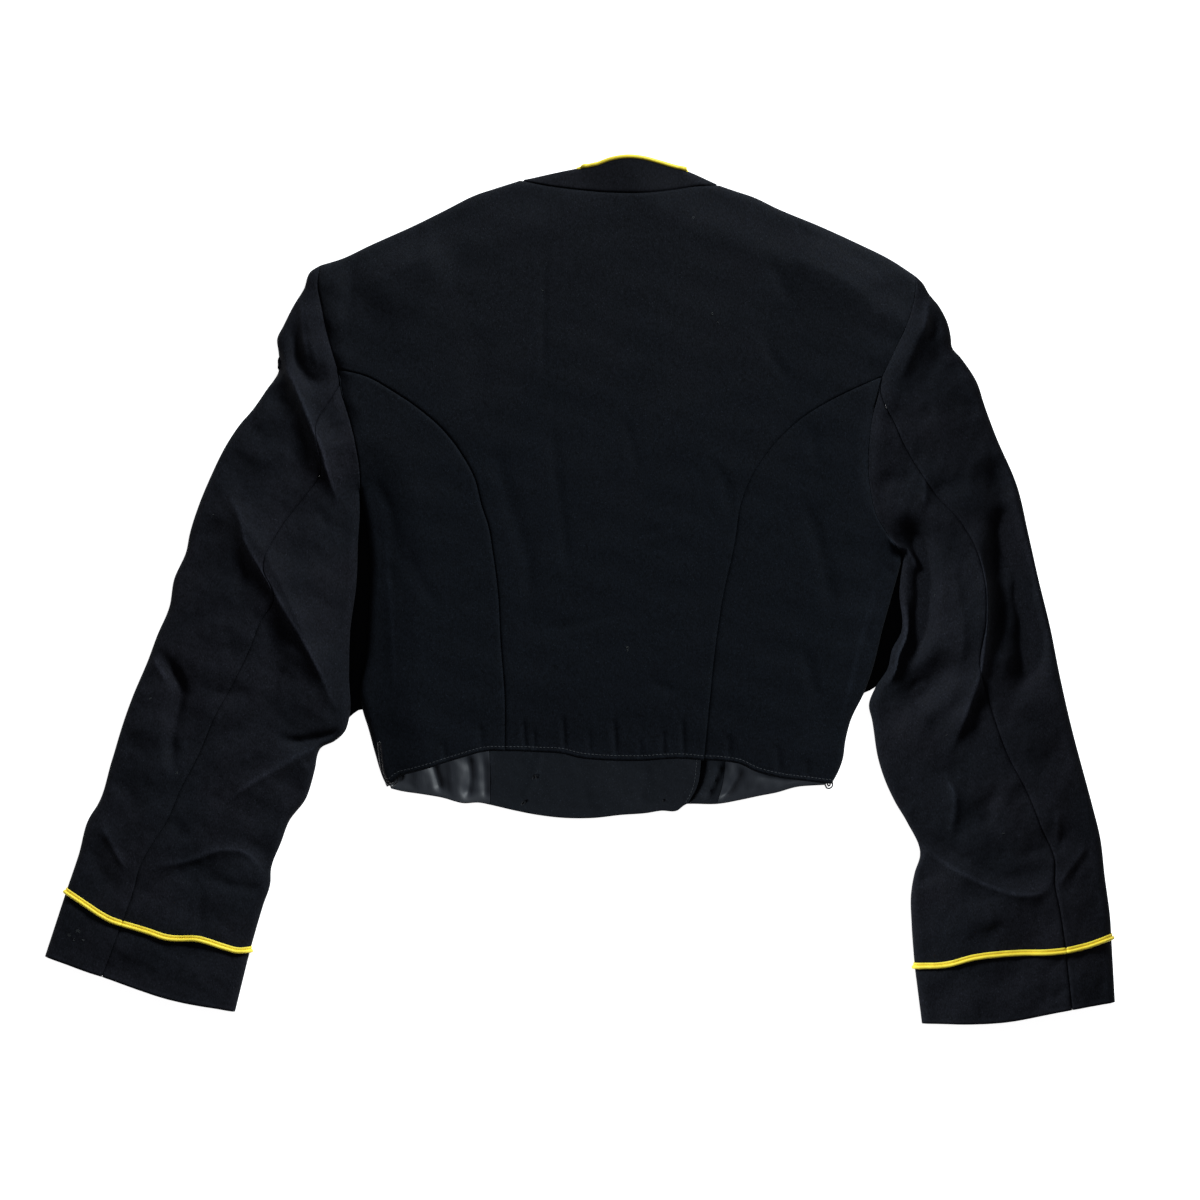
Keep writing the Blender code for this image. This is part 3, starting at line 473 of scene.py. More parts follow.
BROAD_FOLDS = [
    fold("right sleeve, broad hollow outside the ridge", -6.9, 20, 15, (347, 122), (355.5, 73), (363.5, 23.5),
         (368.5, -25.5), (365, -66.5), (352, -107.5)),
    fold("right sleeve, broad hollow below the underarm", -5.8, 15, 16, (309.5, -52), (286.5, -78),
         (258.5, -104.5)),
    fold("left shoulder pad", 5.2, 40, 40, (-185, 240), (-144, 263), (-104.5, 278)),
    fold("right shoulder pad", 5.2, 40, 40, (245.5, 230), (204.5, 257.5), (165, 273)),
    fold("hem settles", -2.3, 32, 32, (-130, -140.5), (-33.5, -134), (81.5, -137), (180, -152.5)),
    fold("left sleeve head", 4.6, 15, 15, (-240, 196), (-226, 142.5), (-196.5, 68.5)),
    fold("left elbow", 5.2, 20, 16, (-300, 86), (-254.5, 23.5), (-200.5, -100)),
    fold("left forearm hollow", -3.4, 16, 16, (-330, -60), (-324.5, -107.5), (-318, -150)),
    fold("left cuff", -2.9, 28, 28, (-330, -215), (-300, -250.5)),
    fold("right elbow", 3.4, 14, 20, (302, 34.5), (312.5, -42), (292, -120)),
    fold("right forearm", 2.9, 20, 20, (311, -140.5), (344, -173), (368.5, -214)),
    fold("right outer hollow", -2.9, 12, 12, (353, 75.5), (368.5, -1), (357, -89.5)),
    fold("right cuff", 1.7, 26, 26, (331.5, -250.5), (340, -280)),
    fold("left armhole dip", -2.4, 5, 5, (-214.5, 260), (-215.5, 250.5), (-212, 230), (-206.5, 205),
         (-199, 180), (-194, 155), (-189, 138.5), (-182.5, 105.5)),
    fold("left sleeve head swell", 2.2, 6, 6, (-225, 243.5), (-225, 227), (-221, 205.5), (-215.5, 182.5),
         (-210.5, 171)),
    fold("right armhole dip", -2.6, 5, 5, (274, 250.5), (274, 242.5), (269.5, 223.5), (258.5, 198.5),
         (246.5, 173.5), (239, 142.5), (235.5, 114), (237.5, 79.5), (245.5, 55)),
    fold("right sleeve head swell", 2.2, 6, 6, (283, 238.5), (282.5, 222), (273.5, 200), (262, 174.5),
         (256, 161.5)),
]
CREASES = [
    fold("ridge from shoulder to armpit", 5.5, 9, 6.5, (-245.5, 208), (-243, 187), (-233.5, 165.5),
         (-224.5, 146), (-218, 129.5), (-211, 114), (-206.5, 96), (-200.5, 77.5), (-192.5, 59.5)),
    fold("long ridge across the elbow", 5.8, 12, 8, (-302.5, 91), (-286.5, 76), (-279.5, 62), (-272.5, 36.5),
         (-263.5, 20.5), (-253, 3), (-238.5, -22.5), (-224.5, -45.5), (-213.5, -66.5), (-204.5, -88),
         (-192.5, -118.5)),
    fold("light line on the head", 1.7, 4, 4, (-229.5, 243.5), (-228.5, 227), (-227, 211.5), (-225, 197.5),
         (-222, 178)),
    fold("hollow that turns like a J", -3.4, 5, 4.5, (-235, 219), (-234, 197.5), (-230, 179.5), (-221, 169.5),
         (-204, 174.5)),
    fold("patch at the notch", -1.6, 8.7, 8.7, (-247.5, 169.5), (-250, 148)),
    fold("hollow beside the ridge", -2.6, 8.7, 11.6, (-227.5, 143.5), (-228.5, 117), (-230, 99),
         (-233.5, 79.5)),
    fold("patch at the armhole", -1.6, 8.7, 8.7, (-200.5, 137.5), (-195.5, 118.5)),
    fold("short crease", -1.1, 4.3, 4.3, (-215.5, 67), (-207, 48)),
    fold("broad hollow above the elbow", -2.4, 13.0, 13.0, (-271, 117), (-277.5, 90), (-271, 60.5)),
    fold("crease high on the sleeve", -1.2, 5.8, 5.8, (-273.5, 145), (-261.5, 122)),
    fold("dent at the outer edge", -1.1, 7.2, 7.2, (-301.5, 58), (-300.5, 40)),
    fold("fold above the back seam", -1.6, 7.2, 7.2, (-279.5, 36), (-275, 9.5), (-282.5, -19)),
    fold("small fold", -1.2, 5.8, 5.8, (-286.5, -29), (-286.5, -56)),
    fold("dent", -1.0, 7.2, 7.2, (-318, -19), (-316, -35.5)),
    fold("hollow under the long ridge", -2.8, 8.7, 11.6, (-243, -19), (-251.5, -42), (-247.5, -63.5),
         (-252, -80.5), (-258, -98.5), (-288.5, -127.5), (-286, -143.5)),
    fold("faint crease", -0.8, 4.3, 4.3, (-309, -85.5), (-261.5, -85.5)),
    fold("hollow at the outer edge", -4.5, 5, 6, (-351.5, -46), (-335, -65), (-327.5, -80.5), (-331, -102),
         (-335, -129), (-330, -158.5)),
    fold("ridge beside it", 2.1, 4, 4, (-350.5, -54.5), (-345, -65), (-336.5, -78)),
    fold("dent low", -1.1, 7.2, 7.2, (-359, -68), (-355.5, -84.5)),
    fold("dent lower", -1.1, 7.2, 7.2, (-370.5, -117.5), (-367, -135.5)),
    fold("slanting dent", -1.3, 7.2, 7.2, (-384.5, -151), (-356.5, -185.5)),
    fold("hollow under the elbow point", -3.9, 4, 4, (-250, -121.5), (-233.5, -125.5), (-212, -121.5),
         (-190.5, -116)),
    fold("ridge below the elbow point", 3.9, 4.5, 6, (-205.5, -125), (-230, -136.5), (-251.5, -148.5),
         (-272.5, -161), (-294, -178)),
    fold("hollow along that ridge", -2.4, 8.7, 6.5, (-250, -130.5), (-272.5, -152), (-290, -170),
         (-312, -181.5)),
    fold("dent under the point", -1.3, 5.8, 5.8, (-217, -135.5), (-227, -144.5)),
    fold("broad hollow inside", -2.6, 11.6, 11.6, (-246.5, -150), (-227.5, -176.5)),
    fold("ridge low outside", 2.1, 4, 4, (-393.5, -191), (-369.5, -233)),
    fold("dent outside", -1.3, 7.2, 7.2, (-405, -213.5), (-379.5, -250.5)),
    fold("dent beside the seam", -1.3, 7.2, 7.2, (-334, -184.5), (-323.5, -209.5)),
    fold("light edge of the flat place", 2.6, 4.5, 4, (-359.5, -229), (-316, -221), (-295.5, -213.5),
         (-276, -215), (-254.5, -240.5)),
    fold("line under it", -1.1, 4.6, 4.6, (-315.5, -234.5), (-283.5, -243), (-254.5, -246)),
    fold("pocket at the inner edge", -2.1, 11.6, 11.6, (-274.5, -204.5), (-245, -232)),
    fold("upright crease", -0.8, 4.3, 4.3, (-315.5, -237), (-325, -273)),
    fold("second upright crease", -0.8, 4.3, 4.3, (-311.5, -232), (-311.5, -289.5)),
    fold("big ridge, steep outside", 7.3, 4.5, 15, (317.5, 48), (327.5, 21), (331, 0.5), (331.5, -22.5),
         (330, -46), (326.5, -68), (321, -85.5), (315, -101), (308.5, -118.5), (294.5, -145.5)),
    fold("black hollow outside it", -7.9, 10, 9, (346.5, 81), (342.5, 50.5), (342.5, 23.5), (343, -6.5),
         (340.5, -42), (335.5, -61.5)),
    fold("crease above", -2.1, 13.0, 11.6, (337.5, 112), (344.5, 91), (354.5, 69.5)),
    fold("wandering hollow", -3.8, 10.2, 8.7, (357, 56.5), (363.5, 33.5), (367.5, 10.5), (362, -8.5),
         (372, -35.5), (372, -51), (363.5, -70.5), (352, -94.5), (344, -111)),
    fold("rim of the underarm flap", 4.5, 2.2, 3.4, (249, 45), (258.5, 36), (267, 31), (271.5, 27),
         (276, 18.5), (280, 9.5)),
    fold("black underarm hollow", -10.6, 7, 10, (253.5, 59.5), (265, 55.5), (274, 48), (280, 36), (283, 22),
         (284, 5.5), (283, -14), (280, -35.5), (272.5, -54.5), (262, -71.5)),
    fold("crease from the armhole", -2.1, 7.2, 7.2, (235.5, 77), (253, 88.5), (280, 88.5)),
    fold("crease across", -1.6, 7.2, 7.2, (285.5, 78.5), (321, 87.5)),
    fold("light line on the head", 2.0, 4, 4, (286.5, 244), (282.5, 220.5), (278.5, 200.5)),
    fold("hollow beside it", -1.3, 5.8, 5.8, (296.5, 223), (282.5, 200)),
    fold("patch at the notch", -1.3, 7.2, 7.2, (307, 187.5), (310.5, 172)),
    fold("patch below it", -1.2, 8.7, 8.7, (319.5, 156.5), (323.5, 138.5)),
    fold("slanting patch", -1.3, 7.2, 7.2, (293, 151.5), (271, 132)),
    fold("light mark", 1.6, 3, 3, (281.5, 96), (281.5, 66)),
    fold("slanting hollow", -5.3, 11.6, 13.0, (312.5, -55), (291.5, -75), (266, -96)),
    fold("second slanting hollow", -2.8, 8.7, 8.7, (320, -83), (281.5, -120.5)),
    fold("dent by the seam", -1.3, 7.2, 7.2, (331, -81.5), (323.5, -120.5)),
    fold("flap of the underarm", 6.6, 3.6, 4.2, (262, 0.5), (265, -19), (266, -40.5), (260.5, -53.5),
         (257, -68), (249, -83)),
    fold("upright ridge", 2.9, 5, 5, (296.5, -148.5), (305.5, -170), (301.5, -203.5)),
    fold("upright hollow", -1.8, 5.8, 5.8, (340.5, -158.5), (335.5, -177.5), (330, -201)),
    fold("hooked crease", -1.3, 5.8, 5.8, (342.5, -161.5), (327.5, -184), (338, -193.5), (333, -212.5)),
    fold("dent", -1.0, 5.8, 5.8, (358.5, -158.5), (360.5, -175)),
    fold("level crease", -1.0, 4.6, 4.6, (358, -217.5), (384, -213.5)),
    fold("small crease", -0.8, 4.3, 4.3, (396.5, -197), (388, -220)),
    fold("light upright", 1.3, 3, 3, (390, -178), (390, -214)),
    fold("hollow like a U", -2.6, 6.5, 8.0, (265, -183), (287.5, -204.5), (305.5, -216.5), (324, -227.5),
         (346.5, -237), (363, -235.5), (385, -224)),
    fold("ridge under the U", 3.4, 5, 5, (276.5, -208.5), (305.5, -229), (331.5, -242), (356, -249.5),
         (376, -248.5), (390, -227.5)),
    fold("light band", 2.0, 4, 4, (387.5, -246), (417, -207)),
    fold("hollow beside the band", -1.2, 5.8, 5.8, (394.5, -239.5), (420, -214)),
    fold("pocket at the inner edge", -1.8, 10.2, 10.2, (274, -217.5), (285, -245.5)),
    fold("edge of the flat place", -0.7, 7.2, 7.2, (390, -242), (371, -260), (347, -270), (332.5, -282.5),
         (317.5, -291.5)),
    fold("hair crease", -0.7, 3.6, 3.6, (393, -253.5), (412, -292)),
    fold("cuff crease", -0.8, 3.8, 3.8, (395.5, -294.5), (378.5, -321.5)),
    fold("second cuff crease", -0.7, 3.8, 3.8, (399.5, -322.5), (385, -338)),
    fold("beside the left armhole", -1.3, 5, 5, (-190, 278), (-188.5, 243.5), (-194, 209)),
    fold("left shoulder", -0.9, 5, 5, (-131.5, 304), (-138.5, 264)),
    fold("left shoulder, long", -1.1, 6, 6, (-90.5, 291), (-102, 261.5), (-127, 219.5)),
    fold("left of the middle", -0.7, 3.5, 3.5, (-27.5, 286), (-30, 243.5), (-31, 164.5)),
    fold("left shoulder blade", -1.1, 12, 12, (-79, 219), (-89, 145)),
    fold("right shoulder", -0.9, 5, 5, (152, 274.5), (173.5, 230)),
    fold("right shoulder blade", -0.9, 4.5, 4.5, (157, 223.5), (152, 199), (162, 181), (174, 164.5)),
    fold("right shoulder, short", -0.8, 4, 4, (174, 306.5), (186.5, 283.5)),
    fold("left of the waist", -1.2, 7, 7, (-76, 135), (-58.5, 70.5), (-44, 23), (-40.5, -42)),
    fold("middle of the waist", -0.8, 5, 5, (-26, 146.5), (-16, 60.5), (-8, -6)),
    fold("middle", -0.6, 4, 4, (35.5, 142.5), (48, 91.5)),
    fold("left side panel", -1.0, 6, 6, (-143, 30), (-118, -16.5)),
    fold("left side panel, short", -0.8, 4, 4, (-156.5, 22), (-154.5, 2.5)),
    fold("level crease", -0.7, 4, 4, (-31, -35.5), (31.5, -20.5)),
    fold("inside the right seam", -0.8, 5, 5, (157, 135), (134, 118.5), (119, 92.5)),
    fold("inside the right seam, lower", -0.8, 5, 5, (105.5, 109.5), (119, 83.5), (121.5, 51.5)),
    fold("right side panel, high", -0.8, 5, 5, (189.5, 132.5), (193, 96.5)),
    fold("right side panel, long", -1.2, 6, 6, (180, 82.5), (198, 23), (208.5, -34)),
    fold("right side panel, low", -1.0, 5, 5, (181.5, -44.5), (194, -97)),
    fold("right of the middle", -0.6, 4, 4, (46, 42.5), (82.5, 53)),
    fold("low on the right", -0.6, 4, 4, (54.5, -75), (81.5, -86.5)),
    fold("left armpit pull", -1.0, 5, 5, (-171, 97.5), (-154.5, 56.5), (-151.5, 23.5)),
    fold("right armpit pull", -1.2, 5, 5, (249.5, 23.5), (235.5, -9), (229, -50)),
    fold("swell of the left side", 1.5, 14, 14, (-160.5, 56.5), (-154.5, -25.5), (-151.5, -91)),
    fold("swell of the right side", 1.5, 14, 14, (245.5, 15.5), (227.5, -50), (209.5, -124)),
]
HEM_PUCKERS = (                                 # height, width and the two ends
    (-1.2, 2.4, (-81.5, -109), (-81.5, -134)),
    (-1.3, 2.2, (-47, -104.5), (-45.5, -134)),
    (-1.0, 2.0, (-38, -114), (-38, -134)),
    (-1.3, 2.4, (-14.5, -101), (-13, -136.5)),
    (-1.4, 2.4, (27.5, -104.5), (29, -140.5)),
    (-1.1, 2.2, (67.5, -114), (67.5, -140.5)),
    (-1.3, 2.4, (83, -103.5), (84, -139.5)),
    (-1.2, 2.4, (121, -116), (121, -142)),
    (-1.2, 2.4, (161, -125.5), (162.5, -154.5)),
    (-0.8, 2.2, (7, -116), (7.5, -138)),
    (-0.8, 2.2, (48.5, -120), (48.5, -140.5)),
    (-1.0, 2.4, (-113, -122.5), (-110.5, -142)),
    (-0.8, 2.4, (185, -137), (186.5, -157.5)),
)
CREASES += [fold(f"hem pucker {number}", height, width, width, *ends)
            for number, (height, width, *ends) in enumerate(HEM_PUCKERS, 1)]
INSIDE_FOLDS = [
    fold("left lining, beside the hook", -1.6, 4.3, 4.3, (-133.5, -136.5), (-131, -169)),
    fold("left lining, slanting", 3.0, 3, 2.5, (-125, -134), (-118.5, -152.5), (-113.5, -173)),
    fold("left lining, second", 2.8, 2.5, 3, (-94, -130.5), (-90.5, -155), (-95, -178)),
    fold("left lining, hollow", -1.6, 4.3, 4.3, (-105.5, -134), (-102, -178)),
    fold("left lining, by the facing", 1.9, 2, 2, (-80, -130.5), (-77.5, -178)),
    fold("left facing crease", -1.9, 2.0, 2.0, (-32.5, -130.5), (-38, -153.5), (-47, -173)),
    fold("left facing, middle", -0.7, 11.6, 11.6, (16, -132), (19, -188)),
    fold("left facing, right", 0.9, 10, 10, (57, -136.5), (48.5, -185.5)),
    fold("right lining pleat", 3.4, 2.5, 3, (117.5, -137), (109.5, -158.5), (99.5, -178)),
    fold("right lining, second pleat", 3.0, 2.5, 3, (133, -145.5), (123.5, -162.5), (112.5, -178)),
    fold("right lining hollow", -1.6, 4.3, 4.3, (125, -140.5), (107.5, -178)),
    fold("right lining, long swell", 2.3, 4, 4, (140.5, -152.5), (167.5, -157), (198, -158.5)),
    fold("right lining, low", -1.1, 3.6, 3.6, (144.5, -172.5), (167.5, -166), (194.5, -160)),
]
print(len(BROAD_FOLDS), "broad folds,", len(CREASES), "creases,", len(INSIDE_FOLDS), "folds inside")

# %% [markdown]
# ## Heights
# The distance to the nearest folded edge sets the pillow: the cloth turns over in a rolled edge 7 mm wide and
# reaches its full loft 45 mm from the edge. Folds are added with a bell curve across and a fade at both ends.
# Long and short waves with fixed seeds keep the flat places from being perfectly flat.

# %% Height of the upper layer
FOOT, EDGE_RISE, LOFT, ROLL, LOFT_REACH = 3.0, 8.5, 7.0, 7.0, 45.0
LEAST, HIGHEST = 4.5, 31.0
BROAD_INSET, CREASE_INSET, WAVE_INSET = 20, 7, 15   # how far inside the edges each comes to its full height
MIDDLE_X, SLEEVES_FROM, SLEEVES_BLEND = 30, 190, 40  # the sleeves are livelier than the body
EDGE_STEP = 3                                # millimetres between the points of a folded edge
NEAR = 2.6                                   # a fold is felt up to this many widths away
TOP, RIDGE = 1.2, 0.8                        # roundness of a ridge's crest, and how steeply it falls off
FADE = 0.3                                   # part of a fold's length over which each end fades
CREST_FROM, CREST_WIDTH = 0.7, 1.8           # only higher folds get a thin lighter line on the crest: worn nap and a painted highlight
CREST_FULL = 2.5                             # and those of this height in full


def ease(t):
    t = np.clip(t, 0, 1)
    return t * t * (3 - 2 * t)


def to_line(curve, places, reach):
    """Distance from each place to a line up to a reach, which side of it the place is on, and how far along."""
    near = np.full(len(places), float(reach))
    side, along = np.ones(len(places)), np.zeros(len(places))
    part = lengths(curve) / lengths(curve)[-1]
    boxed = np.flatnonzero(((places > curve.min(0) - reach) & (places < curve.max(0) + reach)).all(1))
    inside = places[boxed]
    for i, (start, end) in enumerate(zip(curve[:-1], curve[1:])):
        low, high = np.minimum(start, end) - reach, np.maximum(start, end) + reach
        hit = np.flatnonzero(((inside > low) & (inside < high)).all(1))
        run, off = end - start, inside[hit] - start
        t = np.clip(off @ run / (run @ run), 0, 1)
        gap = np.linalg.norm(off - t[:, None] * run, axis=1)
        closer = gap < near[boxed[hit]]
        who = boxed[hit[closer]]
        near[who] = gap[closer]
        side[who] = np.sign(run[0] * off[closer, 1] - run[1] * off[closer, 0])
        along[who] = part[i] + t[closer] * (part[i + 1] - part[i])
    return near, side, along


def folded(places, folds):
    """What a list of folds adds at each place, and how near each place is to the crest of one."""
    height, crest = np.zeros(len(places)), np.zeros(len(places))
    for one in folds:
        reach = NEAR * max(one.left, one.right)
        near, side, along = to_line(one.points, places, reach)
        width = np.where(side > 0, one.left, one.right)
        if one.height > 0:                       # ridges are sharp at the top, hollows are round
            bell = (np.exp(-(np.hypot(near, TOP) - TOP) / (RIDGE * width))
                    - np.exp(-(reach - TOP) / (RIDGE * width)))
        else:
            bell = np.exp(-(near / width) ** 2) - np.exp(-(reach / width) ** 2)
        fade = ease(along / FADE) * ease((1 - along) / FADE)
        height += one.height * np.maximum(bell, 0) * fade
        # Higher ridges get a thin lighter line on the crest: worn nap and a painted highlight.
        if one.height > CREST_FROM:
            crest_line_wear_and_highlight = np.exp(-(near / CREST_WIDTH) ** 2) * fade * min(1.0, one.height / CREST_FULL)
            crest = np.maximum(crest, crest_line_wear_and_highlight)
    return height, crest


def waves(places, seed, shortest, longest, number=12):
    """Long soft waves in all directions, about -1 to 1."""
    dice = np.random.default_rng(seed)
    total = np.zeros(len(places))
    for _ in range(number):
        turn, length = dice.uniform(0, 2 * np.pi), dice.uniform(shortest, longest)
        start = dice.uniform(0, 2 * np.pi)
        total += np.sin(places @ (np.cos(turn), np.sin(turn)) * 2 * np.pi / length + start)
    return total / np.sqrt(number)


FOLDED_EDGES = []
for side in SIDES:
    FOLDED_EDGES += [SEAMS[name + side] for name in ("shoulder ", "side ", "collar fold ")]
    FOLDED_EDGES += [np.vstack([SEAMS["sleeve outer " + side], SEAMS["cuff " + side][0]]),
                     np.vstack([SEAMS["sleeve inner " + side], SEAMS["cuff " + side][-1]])]
FOLDED_EDGES = [evenly(edge, int(lengths(edge)[-1] / EDGE_STEP) + 1) for edge in FOLDED_EDGES]


def upper_height(places):
    """Height of the upper layer over the table, and its crests."""
    shape, places = places.shape[:-1], places.reshape(-1, 2)
    inward = np.min([to_line(edge, places, LOFT_REACH)[0] for edge in FOLDED_EDGES], axis=0)
    sleeve = ease((np.abs(places[:, 0] - MIDDLE_X) - SLEEVES_FROM) / SLEEVES_BLEND)
    broad, (creases, crest) = folded(places, BROAD_FOLDS)[0], folded(places, CREASES)
    height = (EDGE_RISE + LOFT * ease(inward / LOFT_REACH)
              + broad * ease(inward / BROAD_INSET) + creases * ease(inward / CREASE_INSET)
              + waves(places, 5, 30, 90) * (0.35 + 0.55 * sleeve) * ease(inward / WAVE_INSET)
              + waves(places, 8, 9, 22) * (0.05 + 0.12 * sleeve))
    roll = np.sqrt(1 - (1 - np.clip(inward / ROLL, 0, 1)) ** 2)
    height = FOOT + (np.clip(height, LEAST, HIGHEST) - FOOT) * roll
    return height.reshape(shape), crest.reshape(shape)


print(len(FOLDED_EDGES), "folded edges; the middle of the back is",
      round(float(upper_height(np.array([[MIDDLE_X, 0.0]]))[0][0]), 1), "mm high")

# %% [markdown]
# ## From lines to a panel
# Four lines bound a panel. The grid between them is a ruled surface plus the bow of its top and bottom lines
# (a Coons patch). Its rows and columns crowd together near seams and folded edges, where the cloth bends
# sharply. Where two panels meet, each sinks about a millimetre in its last millimetre, as a pressed seam
# does, and they leave a hair of a gap, which the camera sees as the thin dark seam line.

# %% Grid helpers
CLOSE = np.array((0.0, 0.25, 0.7, 1.4, 2.4, 3.8, 5.5))   # distances from an edge at which the grid is fine
STEP = 1.9                                                 # spacing elsewhere


def stations(total, count):
    """Distances along a line, close together near both ends."""
    close = CLOSE * min(1.0, total / (4 * CLOSE[-1]))
    middle = np.linspace(close[-1], total - close[-1], count - 2 * len(close) + 2)[1:-1]
    return np.concatenate([close, middle, total - close[::-1]])


def count_for(total):
    """The number of stations that a length needs."""
    return int(total / STEP) + 2 * len(CLOSE) - 4


def along(curves, counts):
    """One line from several that meet end to end, each with its own close stations."""
    parts = [sample(curve, stations(lengths(curve)[-1], count)) for curve, count in zip(curves, counts)]
    return np.vstack([parts[0]] + [part[1:] for part in parts[1:]])


def fractions(points):
    """How far along a line each point is, from 0 to 1, or nothing for a line that is one point."""
    distance = lengths(points)
    return distance / distance[-1] if distance[-1] > 0 else None


def patch(left, right, top, bottom, fade=1.0):
    """A grid between four lines of points. Left and right run down, top and bottom from left to right."""
    shares = [s for s in (fractions(top), fractions(bottom)) if s is not None]
    across = np.mean(shares, axis=0)[None, :, None]
    down = np.mean([fractions(left), fractions(right)], axis=0)[:, None, None]
    between = (1 - across) * left[:, None] + across * right[:, None]
    top_bow = top - ((1 - across) * top[0] + across * top[-1])
    bottom_bow = bottom - ((1 - across) * bottom[0] + across * bottom[-1])
    return between + (1 - down) ** fade * top_bow + down * bottom_bow


def raised(plan):
    """A plan's points lifted to the upper layer: x, y, z and the nearness of a crest."""
    return np.concatenate([plan, *(values[..., None] for values in upper_height(plan))], axis=-1)


def at_height(plan, height=0.0):
    """A plan's points at one height, with no crest."""
    level = np.zeros(plan.shape[:-1] + (1,)) + np.asarray(height)[..., None]
    return np.concatenate([plan, level, 0 * level], axis=-1)


def unit(vectors):
    """The same directions, all 1 long."""
    return vectors / np.maximum(np.linalg.norm(vectors, axis=-1, keepdims=True), 1e-9)


def from_first_column(grid):
    """How far in plan each point of a grid is from the first one of its row."""
    step = np.linalg.norm(np.diff(grid[..., :2], axis=1), axis=-1)
    return np.concatenate([np.zeros((len(grid), 1)), np.cumsum(step, axis=1)], axis=1)


def from_last_row(grid):
    """How far in plan each point of a grid is from the last one of its column."""
    return from_first_column(grid[::-1].transpose(1, 0, 2)).T[::-1]


SEAM_DEPTH, SEAM_WIDTH, SEAM_DIP, DIP_WIDTH = 0.9, 0.75, 0.45, 4.0
SWELL, SWELL_AT, SWELL_WIDTH = 0.16, 3.2, 1.6


def sink_seam(grid, edge, rows=None, depth=1.0):
    """Sinks one edge of a grid as a pressed seam. Edge is first, last, top or bottom; rows may weaken it."""
    view = {"first": grid, "last": grid[:, ::-1], "top": grid.transpose(1, 0, 2),
            "bottom": grid[::-1].transpose(1, 0, 2)}[edge]
    away = from_first_column(view)
    dip = (SEAM_DEPTH * np.exp(-(away / SEAM_WIDTH) ** 2) + SEAM_DIP * np.exp(-(away / DIP_WIDTH) ** 2)
           - SWELL * np.exp(-((away - SWELL_AT) / SWELL_WIDTH) ** 2))
    strength = depth if rows is None else depth * rows[:, None]
    view[..., 2] -= strength * dip


def stand_back(grid, edges, by=0.14):
    """Moves edges of a grid inwards a little, so that neighbours stay clear."""
    lines = {"first": (grid[:, 0], grid[:, 1]), "last": (grid[:, -1], grid[:, -2]),
             "top": (grid[0], grid[1]), "bottom": (grid[-1], grid[-2])}
    for edge, inner in (lines[name] for name in edges):
        step = inner - edge
        edge += step * np.minimum(by / np.maximum(np.linalg.norm(step, axis=-1, keepdims=True), 1e-6), 0.6)
    return grid


RELAXING, SQUEEZED = 60, 0.12              # rounds at most, and the share of the usual area that is too small


def untangled(plan):
    """Relaxes the few cells of a plan that a sharp bend in an edge turned inside out."""
    for _ in range(RELAXING):
        down, across = plan[1:, :-1] - plan[:-1, :-1], plan[:-1, 1:] - plan[:-1, :-1]
        turn = down[..., 0] * across[..., 1] - down[..., 1] * across[..., 0]
        turn *= np.sign(np.median(turn))
        usual = np.median(turn) * np.minimum(1, np.linalg.norm(across, axis=-1) / STEP)
        tangled = turn < SQUEEZED * usual
        if not tangled.any():
            break
        near = np.zeros(plan.shape[:2], bool)
        for row, column in np.argwhere(tangled):
            near[max(row - 3, 0):row + 5, max(column - 3, 0):column + 5] = True
        near = near[1:-1, 1:-1, None]
        mean = (plan[:-2, 1:-1] + plan[2:, 1:-1] + plan[1:-1, :-2] + plan[1:-1, 2:]) / 4
        plan[1:-1, 1:-1] = np.where(near, mean, plan[1:-1, 1:-1])
    return plan


def soft_rows(marks, spread=3):
    """A row of marks, 0 or 1, with softened steps."""
    kernel = np.ones(2 * spread + 1) / (2 * spread + 1)
    return np.convolve(np.pad(marks.astype(float), spread, mode="edge"), kernel, "valid")


ROUND_STEPS = 6


def rolled(edge, bottom):
    """Lines of points that turn from a folded edge to the flat cloth under it."""
    turns = []
    for a in np.linspace(0, np.pi / 2, ROUND_STEPS + 1)[1:-1]:
        turn = edge + (1 - np.cos(a)) * (bottom - edge)
        turn[:, 2] = edge[:, 2] * (1 - np.sin(a))
        turns.append(turn)
    return np.array(turns)


# %% [markdown]
# ## Cloth with a wall
# A grid of points is the outer face of the cloth. We copy it inwards by the cloth's thickness, and close the
# two along the cut edges. A Solidify modifier would do nearly the same, but here we also keep every point
# above the table. Shading is smooth, because woven cloth has no facets, and sharp only at the cut edges.

# %% Panel maker
WOOL_WALL, FACING_WALL, LINING_WALL, COLLAR_WALL = 1.5, 1.0, 0.8, 2.0
LOWEST = 0.02                               # nothing goes under the table
SHARP = 1.15                                # radians: only the cut edges of the cloth are sharper
PANELS = {}


def mesh_object(name, points, faces, finish):
    """A smooth mesh from points in millimetres and faces with the same number of corners each."""
    faces = np.asarray(faces)
    mesh = bpy.data.meshes.new(name)
    mesh.vertices.add(len(points))
    points = np.array(points, float)[:, :3]
    points[:, 2] = np.maximum(points[:, 2], LOWEST)
    mesh.vertices.foreach_set("co", (points * MM).astype(np.float32).ravel())
    mesh.loops.add(faces.size)
    mesh.loops.foreach_set("vertex_index", faces.ravel().astype(np.int32))
    mesh.polygons.add(len(faces))
    mesh.polygons.foreach_set("loop_start", np.arange(0, faces.size, faces.shape[1], dtype=np.int32))
    mesh.update(calc_edges=True)
    mesh.shade_smooth()
    mesh.set_sharp_from_angle(angle=SHARP)
    mesh.materials.append(finish)
    made = bpy.data.objects.new(name, mesh)
    bpy.context.scene.collection.objects.link(made)
    return made


def grid_faces(rows, columns, closed=False):
    """Corner numbers of a grid's cells. A closed grid's last column is joined to its first."""
    corner = np.arange(rows * columns).reshape(rows, columns)
    if closed:
        corner = np.concatenate([corner, corner[:, :1]], axis=1)
    cells = corner[:-1, :-1], corner[1:, :-1], corner[1:, 1:], corner[:-1, 1:]
    return np.stack(cells, axis=-1).reshape(-1, 4)


